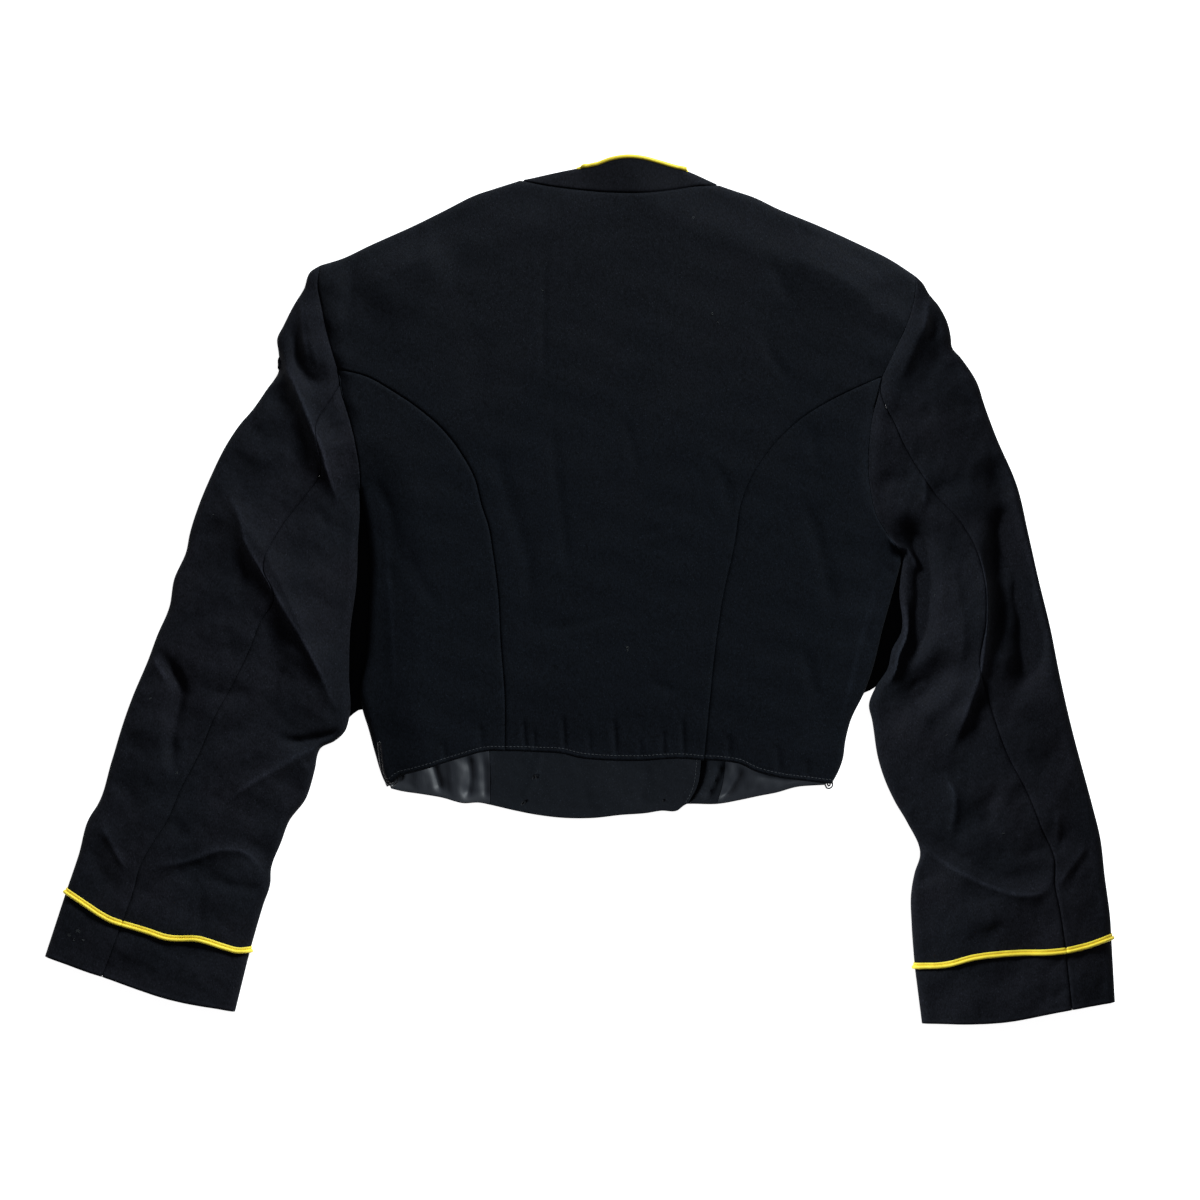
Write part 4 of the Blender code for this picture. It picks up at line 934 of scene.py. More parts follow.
def panel(name, grid, wall, finish, facing_up=True, probe=None):
    """A piece of cloth whose outer face is a grid. It replaces the CAD node of the same name."""
    rows, columns = grid.shape[:2]
    outer, crest = grid[..., :3], grid[..., 3]
    outward = unit(np.cross(np.gradient(outer, axis=0), np.gradient(outer, axis=1)))
    turned = (outward[probe or (rows // 2, columns // 2)][2] > 0) != facing_up
    if turned:
        outward = -outward
    inner = outer - wall * outward
    points = np.concatenate([outer.reshape(-1, 3), inner.reshape(-1, 3)])
    number = np.arange(rows * columns).reshape(rows, columns)
    rim = np.concatenate([number[0], number[1:, -1], number[-1, -2::-1], number[-2:0:-1, 0]])
    after = np.roll(rim, -1)
    faces = grid_faces(rows, columns)
    faces = np.concatenate([faces, faces[:, ::-1] + rows * columns,
                            np.column_stack([rim, after, after + rows * columns, rim + rows * columns])])
    piece = mesh_object(name + "_cloth", points, faces[:, ::-1] if turned else faces, finish)
    # The crest attribute lightens the wool along ridges: worn nap and a painted highlight.
    wear_and_highlight = piece.data.attributes.new("crest", "FLOAT", "POINT")
    wear_and_highlight.data.foreach_set("value", np.concatenate([crest.ravel(), 0 * crest.ravel()]).astype(np.float32))
    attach(piece, "root")
    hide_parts(name)
    diagonals = outer[1:, 1:] - outer[:-1, :-1], outer[1:, :-1] - outer[:-1, 1:]
    area = np.linalg.norm(np.cross(*diagonals), axis=-1).sum() / 2 * MM * MM
    PANELS[name] = piece, area
    print(f"{name}: {rows} x {columns} points, {area:.4f} m2")


# %% [markdown]
# ## The back
# One centre panel from shoulder to shoulder, down to the hem between the two curved back seams. The shoulders
# are folded edges, where the cloth turns down to the table. The neck, the armholes and the curved seams are
# sewn.

# %% Back panel
ABOVE, BODY = 58, 176                 # rows beside the upper armhole, and beside a back seam
NECK_COUNT, SHOULDER_COUNT = 80, 64
WAIST, TOE = (0.12, 1.7), (0.5, 0.5)      # inset and height of the two lines below a folded edge


def armhole(side):
    """The whole armhole, from the shoulder to the underarm."""
    upper, lower = SEAMS["armhole above " + side], SEAMS["armhole below " + side]
    return upper, np.vstack([upper[-1:], lower[:1]]), lower


def turned_down(grid, on_edge):
    """Adds two columns after the last, which bring the marked rows upright down to the table. In the other rows
    the three last columns lie close together."""
    edge = grid[:, -1].copy()
    inward = grid[:, -2] - edge
    inward[:, 2:] = 0
    inward, share = unit(inward), on_edge[:, None]
    waist, toe = edge + WAIST[0] * inward, edge + TOE[0] * inward
    waist[:, 2], toe[:, 2] = WAIST[1], TOE[1]
    close = edge + 0.06 * inward, edge + 0.03 * inward, edge
    columns = [(share * down + (1 - share) * flat)[:, None] for down, flat in zip((edge, waist, toe), close)]
    return np.concatenate([grid[:, :-1], *columns], axis=1)


back_edges = {side: along([armhole(side)[0], SEAMS["back seam " + side]], (ABOVE, BODY)) for side in SIDES}
back_top = along([SEAMS["shoulder left"], SEAMS["neck seam"], SEAMS["shoulder right"][::-1]],
                 (SHOULDER_COUNT, NECK_COUNT, SHOULDER_COUNT))
back_hem = sample(SEAMS["hem centre"], stations(lengths(SEAMS["hem centre"])[-1], len(back_top)))
back = raised(untangled(patch(back_edges["left"], back_edges["right"], back_top, back_hem)))
on_shoulder = np.ones(len(back_top))
on_shoulder[SHOULDER_COUNT - 1:SHOULDER_COUNT + NECK_COUNT - 1] = 0
sink_seam(back, "first")
sink_seam(back, "last")
sink_seam(back, "top", 1 - on_shoulder, 1.2)


HEM_ROLL = 0.9
GROOVE_AT, GROOVE_WIDTH, GROOVE = 3.8, 0.6, 0.25    # the line that the hem's stitches pull in
PLUMP_AT, PLUMP_WIDTH, PLUMP = 2.0, 1.2, 0.25       # and the swell below it


def hemmed(grid, drop=0.9):
    """Rounds the last rows over, as a turned-up hem."""
    away = from_last_row(grid)
    grid[..., 2] -= (drop * np.exp(-(away / HEM_ROLL) ** 2)
                     + GROOVE * np.exp(-((away - GROOVE_AT) / GROOVE_WIDTH) ** 2))
    grid[..., 2] += PLUMP * np.exp(-((away - PLUMP_AT) / PLUMP_WIDTH) ** 2)


hemmed(back)
back = stand_back(back, ("first", "last", "top"))
back = turned_down(back[::-1].transpose(1, 0, 2), on_shoulder)
panel("back", back, WOOL_WALL, BACK_WOOL)

# %% [markdown]
# ## The side panels
# Each side panel starts as a point at the armhole and widens down to the hem. Its inner edge is the curved
# back seam, and its outer edge is first the rest of the armhole and then the folded side.

# %% Side panels
SIDE_BACKS = {}
TIP_ROUND = 0.15                          # the point at the armhole is blunted by this share of a row
for side in SIDES:
    _, joint, below = armhole(side)
    rest, folded_side = np.vstack([joint, below[1:]]), SEAMS["side " + side]
    share = lengths(rest)[-1] / (lengths(rest)[-1] + lengths(folded_side)[-1])
    rows_on_armhole = int(BODY * share)
    outer = along([rest, folded_side], (rows_on_armhole, BODY + 1 - rows_on_armhole))
    inner = sample(SEAMS["back seam " + side], stations(lengths(SEAMS["back seam " + side])[-1], BODY))
    hem = SEAMS["hem " + side][::-1]
    columns = count_for(lengths(hem)[-1])
    hem = sample(hem, stations(lengths(hem)[-1], columns))
    tip = np.repeat(outer[:1], columns, axis=0)
    grid = raised(untangled(patch(inner, outer, tip, hem)))
    on_fold = (np.arange(BODY) >= rows_on_armhole - 1).astype(float)
    grid[:, -1, 2] = np.where(on_fold == 1, FOOT, grid[:, -1, 2])
    sink_seam(grid, "first")
    sink_seam(grid, "last", 1 - soft_rows(on_fold))
    hemmed(grid)
    grid = stand_back(grid, ("first",))
    not_folded = grid.copy()
    stand_back(not_folded, ("last",))
    grid[on_fold == 0, -1] = not_folded[on_fold == 0, -1]
    grid[0] = (1 - TIP_ROUND) * grid[0] + TIP_ROUND * grid[1]
    SIDE_BACKS[side] = turned_down(grid, on_fold)
    panel("side_back_" + side, SIDE_BACKS[side], WOOL_WALL, BACK_WOOL)

# %% [markdown]
# ## The sleeves
# A tailored sleeve has two halves. On top they meet in the back seam, which runs from the armhole over the
# elbow to the cuff. Each half then turns round a folded edge and lies flat on the table up to the front seam
# below. So one grid has three parts: over, round and under. A row of the grid lies exactly where the braid is
# sewn.

# %% Sleeve halves
SLEEVE_ROWS, CUFF_ROWS, UNDER_COLUMNS = 252, 38, 18
WIDEST = 119.0                                  # a wider half gets no more columns than this width
BACK_SEAM, FRONT_SEAM = 12, 24                  # the points of the cuff's line where the sleeve's seams end
CORNER_STEPS = 60
UNDER_FADE = 24                                 # the under side's rows forget the armhole's bow this quickly
UNDER_LOFT, LOFT_COLUMNS = 0.5, 5
BRAID_LIFT, BRAID_HALF = 1.35, 4.0              # underneath, the cloth rests on its braid
TOP_SHIFT = 1.2
SLEEVES = {}


def smoothed(points, times=6):
    """Evens out a line's points, between its two ends."""
    for _ in range(times):
        points[1:-1] = (points[:-2] + 2 * points[1:-1] + points[2:]) / 4
    return points


def beside(points, distance):
    """The same line moved sideways, to its left when the distance is positive."""
    run = unit(np.gradient(smoothed(points.copy()), axis=0))
    return smoothed(points + distance * np.column_stack([-run[:, 1], run[:, 0]]), 12)


def two_runs(upper, end):
    """A long edge down to the braid, then on to a point of the cuff, both with the sleeve's rows."""
    return along([upper, np.array([upper[-1], end])], (SLEEVE_ROWS, CUFF_ROWS))


def sleeve_half(side, half, edge_name, armhole_line, turn, fade, corner=None):
    """Half of a sleeve. Its armhole line runs from the back seam to the folded edge. After corner millimetres
    of it, the grid's rows end on it."""
    edge_line, on_armhole = SEAMS["sleeve " + edge_name + side], 0.0
    if corner is not None:
        down = lengths(armhole_line)[-1]
        lower = sample(armhole_line, np.linspace(corner, down, CORNER_STEPS))
        armhole_line = sample(armhole_line, np.linspace(0, corner, CORNER_STEPS))
        on_armhole, edge_line = down - corner, np.vstack([lower, edge_line[1:]])
    cuff = SEAMS["cuff " + side]
    mouth = cuff[:BACK_SEAM + 1][::-1] if half == "top" else cuff[BACK_SEAM:]
    seam = two_runs(SEAMS["sleeve back " + side], cuff[BACK_SEAM])
    edge = two_runs(edge_line, mouth[-1])
    columns = count_for(min(np.linalg.norm(seam - edge, axis=1).mean(), WIDEST))
    joined = lengths(edge) < on_armhole
    top, braid, mouth = (sample(across, stations(lengths(across)[-1], columns))
                         for across in (armhole_line, SEAMS["braid " + edge_name + side], mouth))
    plan = np.concatenate([untangled(patch(seam[:SLEEVE_ROWS], edge[:SLEEVE_ROWS], top, braid, fade)),
                           patch(seam[SLEEVE_ROWS - 1:], edge[SLEEVE_ROWS - 1:], braid, mouth)[1:]])
    over = raised(plan)
    sink_seam(over, "first")
    sink_seam(over, "top")
    hemmed(over, 0.7)
    over[:, -1, 2] = np.where(joined, over[:, -1, 2], FOOT)
    if joined.any():
        sink_seam(over, "last", soft_rows(joined))
        over = stand_back(over, ("last",))
    inset = beside(plan[:, -1].copy(), turn * FOOT)
    inset[0] = sample(armhole_line[::-1], [FOOT])[0]
    inset[-1] = plan[-1, -1] + unit(plan[-1, -2] - plan[-1, -1]) * FOOT
    front = two_runs(SEAMS["sleeve front " + side], cuff[FRONT_SEAM])
    under_top = sample(armhole_line[::-1], np.linspace(FOOT, lengths(armhole_line)[-1], UNDER_COLUMNS))
    under_end = np.linspace(inset[-1], front[-1], UNDER_COLUMNS)
    under_plan = untangled(patch(inset, front, under_top, under_end, UNDER_FADE))
    under = at_height(under_plan)
    from_braid = np.abs(lengths(seam) - lengths(seam)[SLEEVE_ROWS - 1])[:, None]
    ripple = np.maximum(waves(under_plan.reshape(-1, 2), 11, 40, 120), 0).reshape(under_plan.shape[:-1])
    under[..., 2] += UNDER_LOFT * ripple * ease(np.arange(UNDER_COLUMNS) / LOFT_COLUMNS)
    under[..., 2] = np.maximum(under[..., 2], BRAID_LIFT * np.exp(-(from_braid / BRAID_HALF) ** 4))
    rounds = rolled(at_height(plan[:, -1], over[:, -1, 2]), at_height(inset)).transpose(1, 0, 2)
    grid = stand_back(np.concatenate([over, rounds, under], axis=1), ("first", "top", "last"))
    below = slice(columns + ROUND_STEPS + 1, None)
    grid[0, below, :2] += TOP_SHIFT * unit(grid[6, below, :2] - grid[0, below, :2])
    name = half + "_sleeve_" + side
    panel(name, grid, WOOL_WALL, SLEEVE_WOOL, probe=(len(grid) // 2, 3))
    SLEEVES[name] = (grid, columns)


TURN = {"left": 1, "right": -1}
UNDER_CORNER = {"left": None, "right": 62.0}    # the right armhole bends too sharply for one row to follow it
for side in SIDES:
    above, joint, below = armhole(side)
    sleeve_half(side, "top", "outer ", np.vstack([above, joint[1:]])[::-1], TURN[side], 1.0)
    sleeve_half(side, "under", "inner ", below, -TURN[side], 4.0, UNDER_CORNER[side])

# %% [markdown]
# ## Fronts, facings and linings
# The fronts lie face down on the table, and the left one laps over the right one. They carry the wool facings
# and the satin linings, which show only below the back's hem. Beside the underarms the fronts reach out as far
# as the sleeves' edges, so the deep gaps there show black cloth and no table. Their wool is darker, as painted
# shade.

# %% Fronts
LAP_RISE, LAP_START, LAP_FULL = 3.6, 60.0, 32.0
LAYER_GAP = 0.3
FRONT_ROWS, INSIDE_ROWS, INSIDE_HEIGHT = 74, 52, 95.0
INSIDE_SPLIT = {"left": -74, "right": 111}      # x on the hem at which lining and facing meet
LINING_STEP, FACING_STEP = 1.9, 2.2
ARMHOLE_FROM = 8                                # the fronts' armholes leave out the points at the shoulder
ARMHOLE_INSET, SHOULDER_INSET, SIDE_INSET = 1.0, 2.5, 3
EDGE_LIFT = 0.9                                 # how far an inside layer stands off the front


def lap(plan):
    """Height of the left front, which climbs onto the right front before that one's edge."""
    edge = SEAMS["front edge right"]
    edge_x = np.interp(-plan[..., 1], -edge[:, 1], edge[:, 0])
    return LAP_RISE * ease((plan[..., 0] - edge_x + LAP_START) / (LAP_START - LAP_FULL))


def front_plan(side):
    """The front in plan, and the column at which lining and facing meet."""
    above, joint, below = armhole(side)
    armhole_line = evenly(np.vstack([above[ARMHOLE_FROM:], joint[1:], below[1:]]), 60)
    outer = np.vstack([beside(armhole_line, -TURN[side] * ARMHOLE_INSET), SEAMS["front side " + side][3:]])
    neck_line = SEAMS["front neck " + side]
    shoulder = beside(evenly(SEAMS["shoulder " + side], 60), -TURN[side] * SHOULDER_INSET)
    shoulder[0], shoulder[-1] = outer[0], neck_line[0]
    hem, edge = SEAMS["front hem " + side], SEAMS["front edge " + side]
    hem_end = lengths(hem)[-1]
    seam_at = lengths(hem)[np.argmin(abs(hem[:, 0] - INSIDE_SPLIT[side]))]
    split = int(seam_at / LINING_STEP) + 1
    facing_at = np.linspace(seam_at, hem_end, int((hem_end - seam_at) / FACING_STEP))
    hem_at = np.concatenate([np.linspace(0, seam_at, split), facing_at[1:]])
    half = len(hem_at) // 2
    top = np.vstack([evenly(shoulder, half), evenly(neck_line, len(hem_at) - half - 1)[1:]])
    total, inside_share = lengths(edge)[-1], INSIDE_HEIGHT / lengths(edge)[-1]
    rows = np.linspace(0, 1, INSIDE_ROWS + 1)[1:] ** 0.6
    share = np.concatenate([np.linspace(0, 1 - inside_share, FRONT_ROWS), 1 - inside_share * (1 - rows)])
    return untangled(patch(sample(outer, share * lengths(outer)[-1]), sample(edge, share * total), top,
                           sample(hem, hem_at))), split


FACINGS = {}
for side in SIDES:
    plan, split = front_plan(side)
    grid = at_height(plan)
    if side == "left":
        grid[..., 2] = lap(plan)
    inside = grid[-INSIDE_ROWS - 1:].copy()
    body_side = SEAMS["side " + side]
    limit = np.interp(-inside[:, 0, 1], -body_side[:, 1], body_side[:, 0]) + TURN[side] * SIDE_INSET
    over = np.maximum(TURN[side] * (limit - inside[:, 0, 0]), 0) * TURN[side]
    inside[..., 0] += over[:, None] * np.linspace(1, 0, inside.shape[1])[None, :]
    swell = np.maximum(waves(plan.reshape(-1, 2), 21, 50, 140), 0).reshape(plan.shape[:-1])
    grid[..., 2] += 0.25 * swell * (grid[..., 2] < 0.1)
    grid = stand_back(grid, ("top",))
    panel("front_" + side, grid, WOOL_WALL, FRONT_WOOL_PAINTED_SHADE, facing_up=False)
    soft = folded(inside[..., :2].reshape(-1, 2), INSIDE_FOLDS)[0].reshape(inside.shape[:-1])
    inside[..., 2] += WOOL_WALL + LAYER_GAP
    stand_back(inside, ("first", "last", "bottom"), 0.9)
    for name, columns, wall, finish, slot, lift, seam_edge in (
            ("lining_", slice(None, split), LINING_WALL, SATIN, "lining", 1.0, "last"),
            ("facing_", slice(split - 1, None), FACING_WALL, FACING_WOOL, "facing", 0.5, "first")):
        part, heights = inside[:, columns].copy(), soft[:, columns]
        fine = waves(part[..., :2].reshape(-1, 2), 31, 7, 26).reshape(heights.shape) * 0.2
        rise = np.maximum(heights + EDGE_LIFT * lift + fine * lift, 0)
        away = from_last_row(part)
        part[..., 2] += rise * ease(away / 9) * ease((INSIDE_HEIGHT - away) / 30)
        stand_back(part, (seam_edge,), 0.2)
        if name == "facing_":
            FACINGS[side] = part
        part[..., 2] += wall
        panel(name + side, part, wall, finish)

# %% [markdown]
# ## The stand collar
# A stand collar is one straight band. Its back half lies on the table with the outside up, and at both ends
# it folds over and runs down under the back. We loft it from short sections between the neck seam and the top
# edge.

# %% Collar
COLLAR_ROWS, COLLAR_COUNT, FRONT_STEPS = 15, 130, 40
COLLAR_SHARES = stations(1.0, COLLAR_ROWS)
FOLDED_AT = FRONT_STEPS + ROUND_STEPS - 1       # the last section before the fold, from either end
PULL, PULL_SPREAD = 2.2, 6.0                    # at the folds the neck edge is drawn in
TUCK, TUCK_DROP, LOW_DROP = 1.6, 1.9, 1.7       # the neck edge goes down under the back


def sections(seam, top):
    """Points of the collar from the neck seam to its top edge."""
    return seam[:, None] + COLLAR_SHARES[None, :, None] * (top - seam)[:, None]


neck = along([SEAMS["neck seam"]], (COLLAR_COUNT,))
top_edge = SEAMS["collar top"]
collar_over = raised(sections(neck, sample(top_edge, fractions(neck) * lengths(top_edge)[-1])))
sink_seam(collar_over, "first")
collar_over[0, :, 2] = collar_over[-1, :, 2] = FOOT
collar_fronts = {}
for side in SIDES:
    seam, top = (evenly(SEAMS[name + side], FRONT_STEPS)[::-1] for name in ("front neck ", "collar front top "))
    collar_fronts[side] = at_height(sections(seam, top))
left, right = collar_fronts["left"], collar_fronts["right"]
collar = np.concatenate([left, rolled(collar_over[0], left[-1])[::-1], collar_over,
                         rolled(collar_over[-1], right[-1]), right[::-1]])
numbers = np.arange(len(collar))
from_fold = np.minimum(numbers - FOLDED_AT, len(collar) - 1 - FOLDED_AT - numbers)
pull = PULL * np.exp(-(np.abs(from_fold) / PULL_SPREAD) ** 2)[:, None]
collar[:, 0] += pull * unit(collar[:, 3] - collar[:, 0])
collar[:, 1:3] += pull[:, None] * 0.6 * unit(collar[:, 4] - collar[:, 0])[:, None]
collar[:, :3, 1] -= np.array((1.7, 1.3, 0.7)) * pull / PULL      # the ends go under the shoulders
tucked = ease((collar[:, 0, 2] - 3) / 4) * ease((from_fold - 1) / 5)
tuck = collar[:, 0] + TUCK * unit(collar[:, 0] - collar[:, 4]) * tucked[:, None]
tuck[:, 2] = collar[:, 0, 2] - TUCK_DROP * tucked
stand_back(collar, ("first",), 0.08)
low = collar[:, 0].copy()
low[:, 2] -= LOW_DROP * tucked
collar = np.concatenate([tuck[:, None], low[:, None], collar], axis=1)
panel("collar", collar, COLLAR_WALL, COLLAR_WOOL, probe=(len(collar) // 2, 9))

# %% [markdown]
# ## Braid
# Round each cuff runs a yellow piping: a flat flange sewn on with a line of stitches, and a round cord along
# its lower edge. It is swept along the grid row of the sleeve where it is sewn, so it turns round the folded
# edges with the cloth and lies flatter underneath. It stops with a rounded end on both sides of the back
# seam.

# %% Sweeping a trim
SWEEP_STEP = 0.65
CORD_OFFSET, CORD_HEIGHT, CORD_RADIUS = 0.7, 1.25, 1.42     # the cord beside its flange
TWIST_DEPTH = 0.06


def sweep(name, path, sideways, outward, profile, finish, ends=1.0, twist=0.0, squash=None):
    """A closed profile (sideways, outward) drawn along a path, with rounded ends and a cord's twist."""
    total = lengths(path)
    count = int(total[-1] / SWEEP_STEP)
    at = np.linspace(0, total[-1], count)
    path, sideways, outward = (read_at(at, total, values) for values in (path, sideways, outward))
    sideways, outward = unit(sideways), unit(outward)
    flat = np.ones(count) if squash is None else np.interp(at, total, squash)
    end = np.minimum(at, total[-1] - at)
    cap = np.sqrt(np.clip(1 - (1 - np.clip(end / ends, 0, 1)) ** 2, 0.02, 1))
    u, v, corded = profile.T
    centre, angle = CORD_OFFSET * corded, np.arctan2(v - 1.2, u - CORD_OFFSET)
    rings = []
    for k in range(count):
        pulse = 1.0
        if twist:
            pulse = 1 - TWIST_DEPTH * corded * (0.5 + 0.5 * np.cos(2 * np.pi * at[k] / twist - 2 * angle))
        wide, high = centre + (u - centre) * pulse * cap[k], v * pulse * flat[k] * (0.4 + 0.6 * cap[k])
        rings.append(path[k] + wide[:, None] * sideways[k] + high[:, None] * outward[k])
    points = np.array(rings).reshape(-1, 3)
    faces = grid_faces(count, len(profile), closed=True)
    piece = mesh_object(name, points, faces, finish)
    piece.data.flip_normals()
    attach(piece, "root")
    return piece


def round_profile(radius, corners):
    """A ring of corners, for a plain round cord or wire."""
    turn = np.linspace(0, 2 * np.pi, corners + 1)[:-1]
    return np.column_stack([radius * np.cos(turn), radius * np.sin(turn), 0 * turn])


flange = [(-2.9, 0.0, 0), (-3.0, 0.45, 0), (-2.6, 0.8, 0), (-1.9, 0.9, 0), (-1.2, 0.85, 0), (-0.75, 0.75, 0)]
cord = [(CORD_OFFSET + CORD_RADIUS * np.cos(a), CORD_HEIGHT + CORD_RADIUS * np.sin(a), 1)
        for a in np.linspace(3.55, -0.9, 13)]
BRAID_PROFILE = np.array(flange + cord + [(CORD_OFFSET, 0.0, 0)])
print("the braid is", round(float(np.ptp(BRAID_PROFILE[:, 0])), 1), "mm wide, its cord", 2 * CORD_RADIUS, "mm")

# %% Cuff braid
BRAID_STITCHES = []
for name, (grid, columns) in SLEEVES.items():
    row = SLEEVE_ROWS - 1
    path = grid[row, 1:-1, :3]
    downward = unit(grid[row + 3, 1:-1, :3] - grid[row - 3, 1:-1, :3])
    crosswise = unit(np.gradient(path, axis=0))
    outward = unit(np.cross(crosswise, downward))
    outward *= np.sign(outward[3, 2])
    squash = 1 - 0.55 * np.clip((np.arange(len(path)) - columns + 2) / ROUND_STEPS, 0, 1)
    braid_name = "cuff_piping_" + name.replace("_sleeve", "")
    braid = sweep(braid_name + "_braid", path + 0.05 * outward, downward, outward, BRAID_PROFILE, BRAID,
                  1.4, 2.8, squash)
    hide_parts(braid_name)
    BRAID_STITCHES.append((braid_name, path, downward, outward, squash))
    print(braid_name, round(lengths(path)[-1]), "mm long")

# %% [markdown]
# The collar's piping is the same cord without the flange, along the top edge of the band.

# %% Collar piping
collar_edge = collar[:, -1, :3]
run = unit(np.gradient(collar_edge, axis=0))
outward = collar_edge - collar[:, -4, :3]
outward = unit(outward - (outward * run).sum(axis=1)[:, None] * run)
inner_side = unit(np.cross(outward, run))
inner_side *= np.sign(np.median(-inner_side[70:-70, 2]))
pipe_path = collar_edge + 0.9 * outward + 0.9 * inner_side
pipe_path[:, 2] = np.maximum(pipe_path[:, 2], 1.5)
piping = sweep("collar_piping_cord", pipe_path, inner_side, outward, round_profile(1.75, 14), BRAID)
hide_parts("collar_piping")
print("collar_piping", round(lengths(pipe_path)[-1]), "mm long")

# %% [markdown]
# ## Stitches, knots and lint
# A stitch is a grain of thread lying in the cloth. We make one small rounded bar and copy its points along
# every sewn line, into one mesh for each line. The knots on the facing held the buttons of the front, and a
# few pale fibres lie on the cloth, as on any black wool.

# %% Stitch maker
BAR = ((-0.5, 0.35), (-0.34, 0.9), (0, 1.0), (0.34, 0.9), (0.5, 0.35))   # place and thickness along a stitch
BAR_CORNERS = 6


def stitches(name, path, outward, spacing, length, thick, finish):
    """A row of short thread bars along a path."""
    total = lengths(path)
    middles = np.arange(spacing / 2, total[-1] - spacing / 2, spacing)
    centre, up = read_at(middles, total, path), unit(read_at(middles, total, outward))
    run = unit(read_at(middles + 0.3, total, path) - read_at(middles - 0.3, total, path))
    across = np.cross(run, up)
    bars, faces = [], []
    a = np.linspace(0, 2 * np.pi, BAR_CORNERS, endpoint=False)[:, None]
    for k in range(len(middles)):
        for share, size in BAR:
            bars.append(centre[k] + share * length * run[k] - 1.2 * abs(share) ** 2 * thick * up[k]
                        + size * thick / 2 * (np.cos(a) * across[k] + np.sin(a) * up[k]))
        faces.append(grid_faces(len(BAR), BAR_CORNERS, closed=True) + len(BAR) * BAR_CORNERS * k)
    piece = mesh_object(name, np.concatenate(bars), np.concatenate(faces), finish)
    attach(piece, "root")
    print(f"{name}: {len(middles)} stitches")


# %% Topstitching
UP = np.array((0.0, 0.0, 1.0))
HEM_STITCH = 5                                # the grid line nearest 4 mm over the hem
hem_rows = {"back": back[1:-1, HEM_STITCH]}
for side in SIDES:
    hem_rows["side_back_" + side] = SIDE_BACKS[side][-1 - HEM_STITCH, 1:-3]
for name, path in hem_rows.items():
    path = path[:, :3] + 0.12 * UP
    stitches(name + "_hem_stitches", path, np.tile(UP, (len(path), 1)), 3.1, 2.2, 0.5, HEM_THREAD)
for name, path, downward, outward, squash in BRAID_STITCHES:
    sewn = path - 1.75 * downward + (0.98 * squash)[:, None] * outward
    stitches(name + "_stitches", sewn, outward, 1.9, 1.35, 0.30, YELLOW_THREAD)
free_edge = FACINGS["left"][:, -3, :3] + 0.1 * UP
stitches("facing_edge_stitches", free_edge, np.tile(UP, (len(free_edge), 1)), 3.0, 2.2, 0.4, HEM_THREAD)

# %% Knots and lint
BLUNT = 0.01                                  # threads and wires end without rounding


def tangle(name, place, size, thick, turns, seed, finish, flat=0.5):
    """A short thread that loops around a place."""
    dice = np.random.default_rng(seed)
    t = np.linspace(0, 1, 8 * turns)
    reach = dice.uniform(0.5, 1.0, (3, 1))
    loops = np.outer(dice.uniform(0.6, 1.4, 3) * turns, t) + dice.uniform(0, 1, (3, 1))
    swing = reach * np.sin(2 * np.pi * loops)
    path = np.array(place) + size * swing.T * (1, 1, flat)
    path[:, 2] = np.maximum(path[:, 2], place[2] - 0.3)
    run = unit(np.gradient(path, axis=0))
    sideways = unit(np.cross(run, UP) + (1e-3, 0, 0))
    sweep(name, path, sideways, np.cross(sideways, run), round_profile(thick / 2, 5), finish, BLUNT)


def surface_point(grid, x, y):
    """The grid's point nearest a place in plan."""
    flat = grid[..., :3].reshape(-1, 3)
    return flat[np.argmin((flat[:, 0] - x) ** 2 + (flat[:, 1] - y) ** 2)]


for number, (x, y, lift, size, thick, seed) in enumerate((
        (-37.4, -155.1, 0.6, 2.0, 0.5, 40), (-47.2, -175.7, 0.6, 2.0, 0.5, 41), (68, -174, 0.5, 1.3, 0.4, 44))):
    tangle(f"button_thread_{number}", surface_point(FACINGS["left"], x, y) + lift * UP, size, thick, 3, seed,
           BLACK_THREAD)
dice = np.random.default_rng(12)
fibre = 0
for grid, spots in ((SLEEVES["top_sleeve_left"][0], [(-412 + dice.normal(0, 3.4), -283 + dice.normal(0, 3.4))
                                                     for _ in range(9)]),
                    (back, [(92, 304), (107, 226), (112, 219), (-31, 244), (38, -50), (38.6, -48.6)]),
                    (SLEEVES["top_sleeve_left"][0], [(-300, 60), (-352, -90), (-330, -150)]),
                    (SLEEVES["under_sleeve_right"][0], [(290, -5), (300, -120), (345, -200)])):
    for x, y in spots:
        tangle(f"lint_{fibre}", surface_point(grid, x, y) + 0.25 * UP, 1.1, 0.16, 1, 60 + fibre, LINT,
               0.1)
        fibre += 1
print(fibre, "fibres")

# %% [markdown]
# ## Belt hooks
# At each side seam sits a hook that carries the belt: one black enamelled wire, doubled like a hairpin, that
# runs down the side and bends under the hem's corner. A tube is swept along a soft line, once down and once
# back up. The left one follows the CAD's wire. The right one shows only its bend: the rest lies between front
# and back.

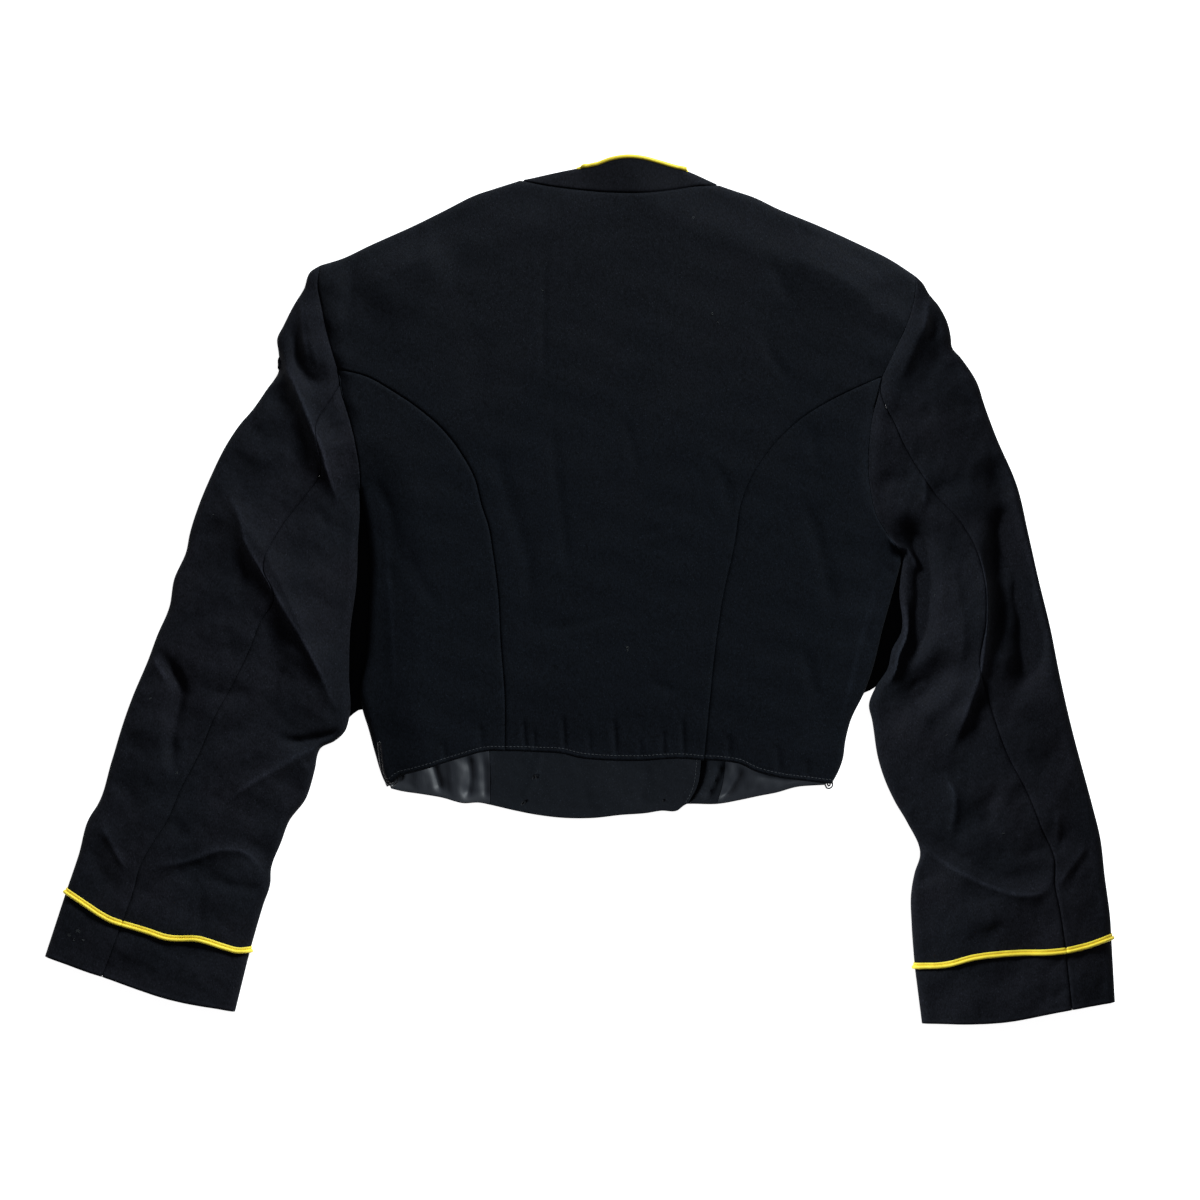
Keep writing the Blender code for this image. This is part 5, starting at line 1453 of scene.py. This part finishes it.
# %% Hooks
WIRE, HALF_GAP = 0.62, 1.0                    # radius of the wire, and half the distance of its two runs
HOOKS = {
    "left": ((-164.7, -126.5, 11.2), (-163.2, -140, 11.4), (-160.8, -153, 11.0), (-157.2, -159.2, 9.6),
             (-153.6, -160.3, 7.8), (-151.2, -157.5, 6.8), (-150.6, -153.8, 6.4)),
    "right": ((205.0, -133, 4.6), (203.0, -145, 4.6), (201.6, -155.5, 4.4), (201.5, -160.4, 4.2),
              (203.2, -162.9, 4.2), (205.4, -161.6, 4.4), (205.4, -158.4, 4.6)),
}
for side in SIDES:
    middle = line(*HOOKS[side])
    run = unit(np.gradient(middle[:, :2], axis=0))
    half = HALF_GAP * np.column_stack([-run[:, 1], run[:, 0], np.zeros(len(run))])
    turn = np.linspace(-np.pi / 2, np.pi / 2, 9)[1:-1, None]
    tip_run, start_run = np.append(run[-1], 0), np.append(run[0], 0)
    tip = middle[-1] + np.sin(turn) * half[-1] + np.cos(turn) * tip_run
    start = middle[0] - np.sin(turn) * half[0] - np.cos(turn) * start_run
    path = np.vstack([middle - half, tip, (middle + half)[::-1], start, (middle - half)[:2]])
    run3 = unit(np.gradient(path, axis=0))
    sideways = unit(np.cross(run3, UP))
    hook = sweep("hook_" + side + "_wire", path, sideways, np.cross(sideways, run3), round_profile(WIRE, 10),
                 ENAMEL, BLUNT)
    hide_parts("hook_" + side)
    print("hook_" + side, round(lengths(path)[-1]), "mm of wire")

# %% [markdown]
# ## The cut of the cloth
# Each panel was cut flat and laid down. The width and length are those of the rectangle that the pattern piece
# is cut from, and the area is measured on the built cloth.

# %% Sheets
CUT = {                                      # width and length of each piece before sewing, in metres
    "back": (0.50, 0.49), "side_back_left": (0.15, 0.36), "side_back_right": (0.17, 0.35),
    "top_sleeve_left": (0.22, 0.64), "under_sleeve_left": (0.19, 0.56), "top_sleeve_right": (0.20, 0.64),
    "under_sleeve_right": (0.20, 0.57), "front_left": (0.33, 0.54), "front_right": (0.33, 0.53),
    "facing_left": (0.19, 0.12), "facing_right": (0.19, 0.13), "lining_left": (0.12, 0.11),
    "lining_right": (0.14, 0.12), "collar": (0.045, 0.42),
}
for name, (piece, area) in PANELS.items():
    width, length = CUT[name]
    print(f"{name}: cut {width} x {length} m, share of the rectangle {area / (width * length):.2f}")

# %% [markdown]
# ## Giving the pieces to the lamps
# Light linking tells a lamp which pieces it lights. It is done last, when all pieces are there. The right
# sleeve and the inside of the hem get lamps of their own. The fronts lie deep in the gaps at the underarms,
# and get only the light of the room.

# %% Which lamp lights what
def lit_by(light, pieces, state):
    """Links a lamp to some pieces only, or to all but those."""
    chosen = bpy.data.collections.new("lit by the " + light.name)
    light.light_linking.receiver_collection = chosen
    for piece in pieces:
        chosen.objects.link(piece)
    for member in chosen.collection_objects:
        member.light_linking.link_state = state


shown = [piece for piece in bpy.context.scene.objects if piece.type == "MESH" and not piece.hide_render]
right_sleeve = [piece for piece in shown
                if "right" in piece.name and ("sleeve" in piece.name or "cuff" in piece.name)]
inside = [piece for piece in shown if piece.name.startswith(("lining", "facing", "button_thread"))]
lit_by(sleeve_lamp, right_sleeve, "INCLUDE")
lit_by(inside_lamp, inside, "INCLUDE")
deep_gaps = [PANELS["front_" + side][0] for side in SIDES]
lit_by(main_lamp, right_sleeve + inside + deep_gaps, "EXCLUDE")
print("on the sleeve lamp:", len(right_sleeve), "pieces, on the inside lamp:", len(inside), "pieces")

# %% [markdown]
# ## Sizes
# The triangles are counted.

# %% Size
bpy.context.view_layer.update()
triangles = {}
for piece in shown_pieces():
    evaluated = piece.evaluated_get(bpy.context.evaluated_depsgraph_get()).to_mesh()
    triangles[piece.name] = len(evaluated.loops) - 2 * len(evaluated.polygons)
print("triangles:", sum(triangles.values()), "largest", max(triangles.items(), key=lambda item: item[1]))
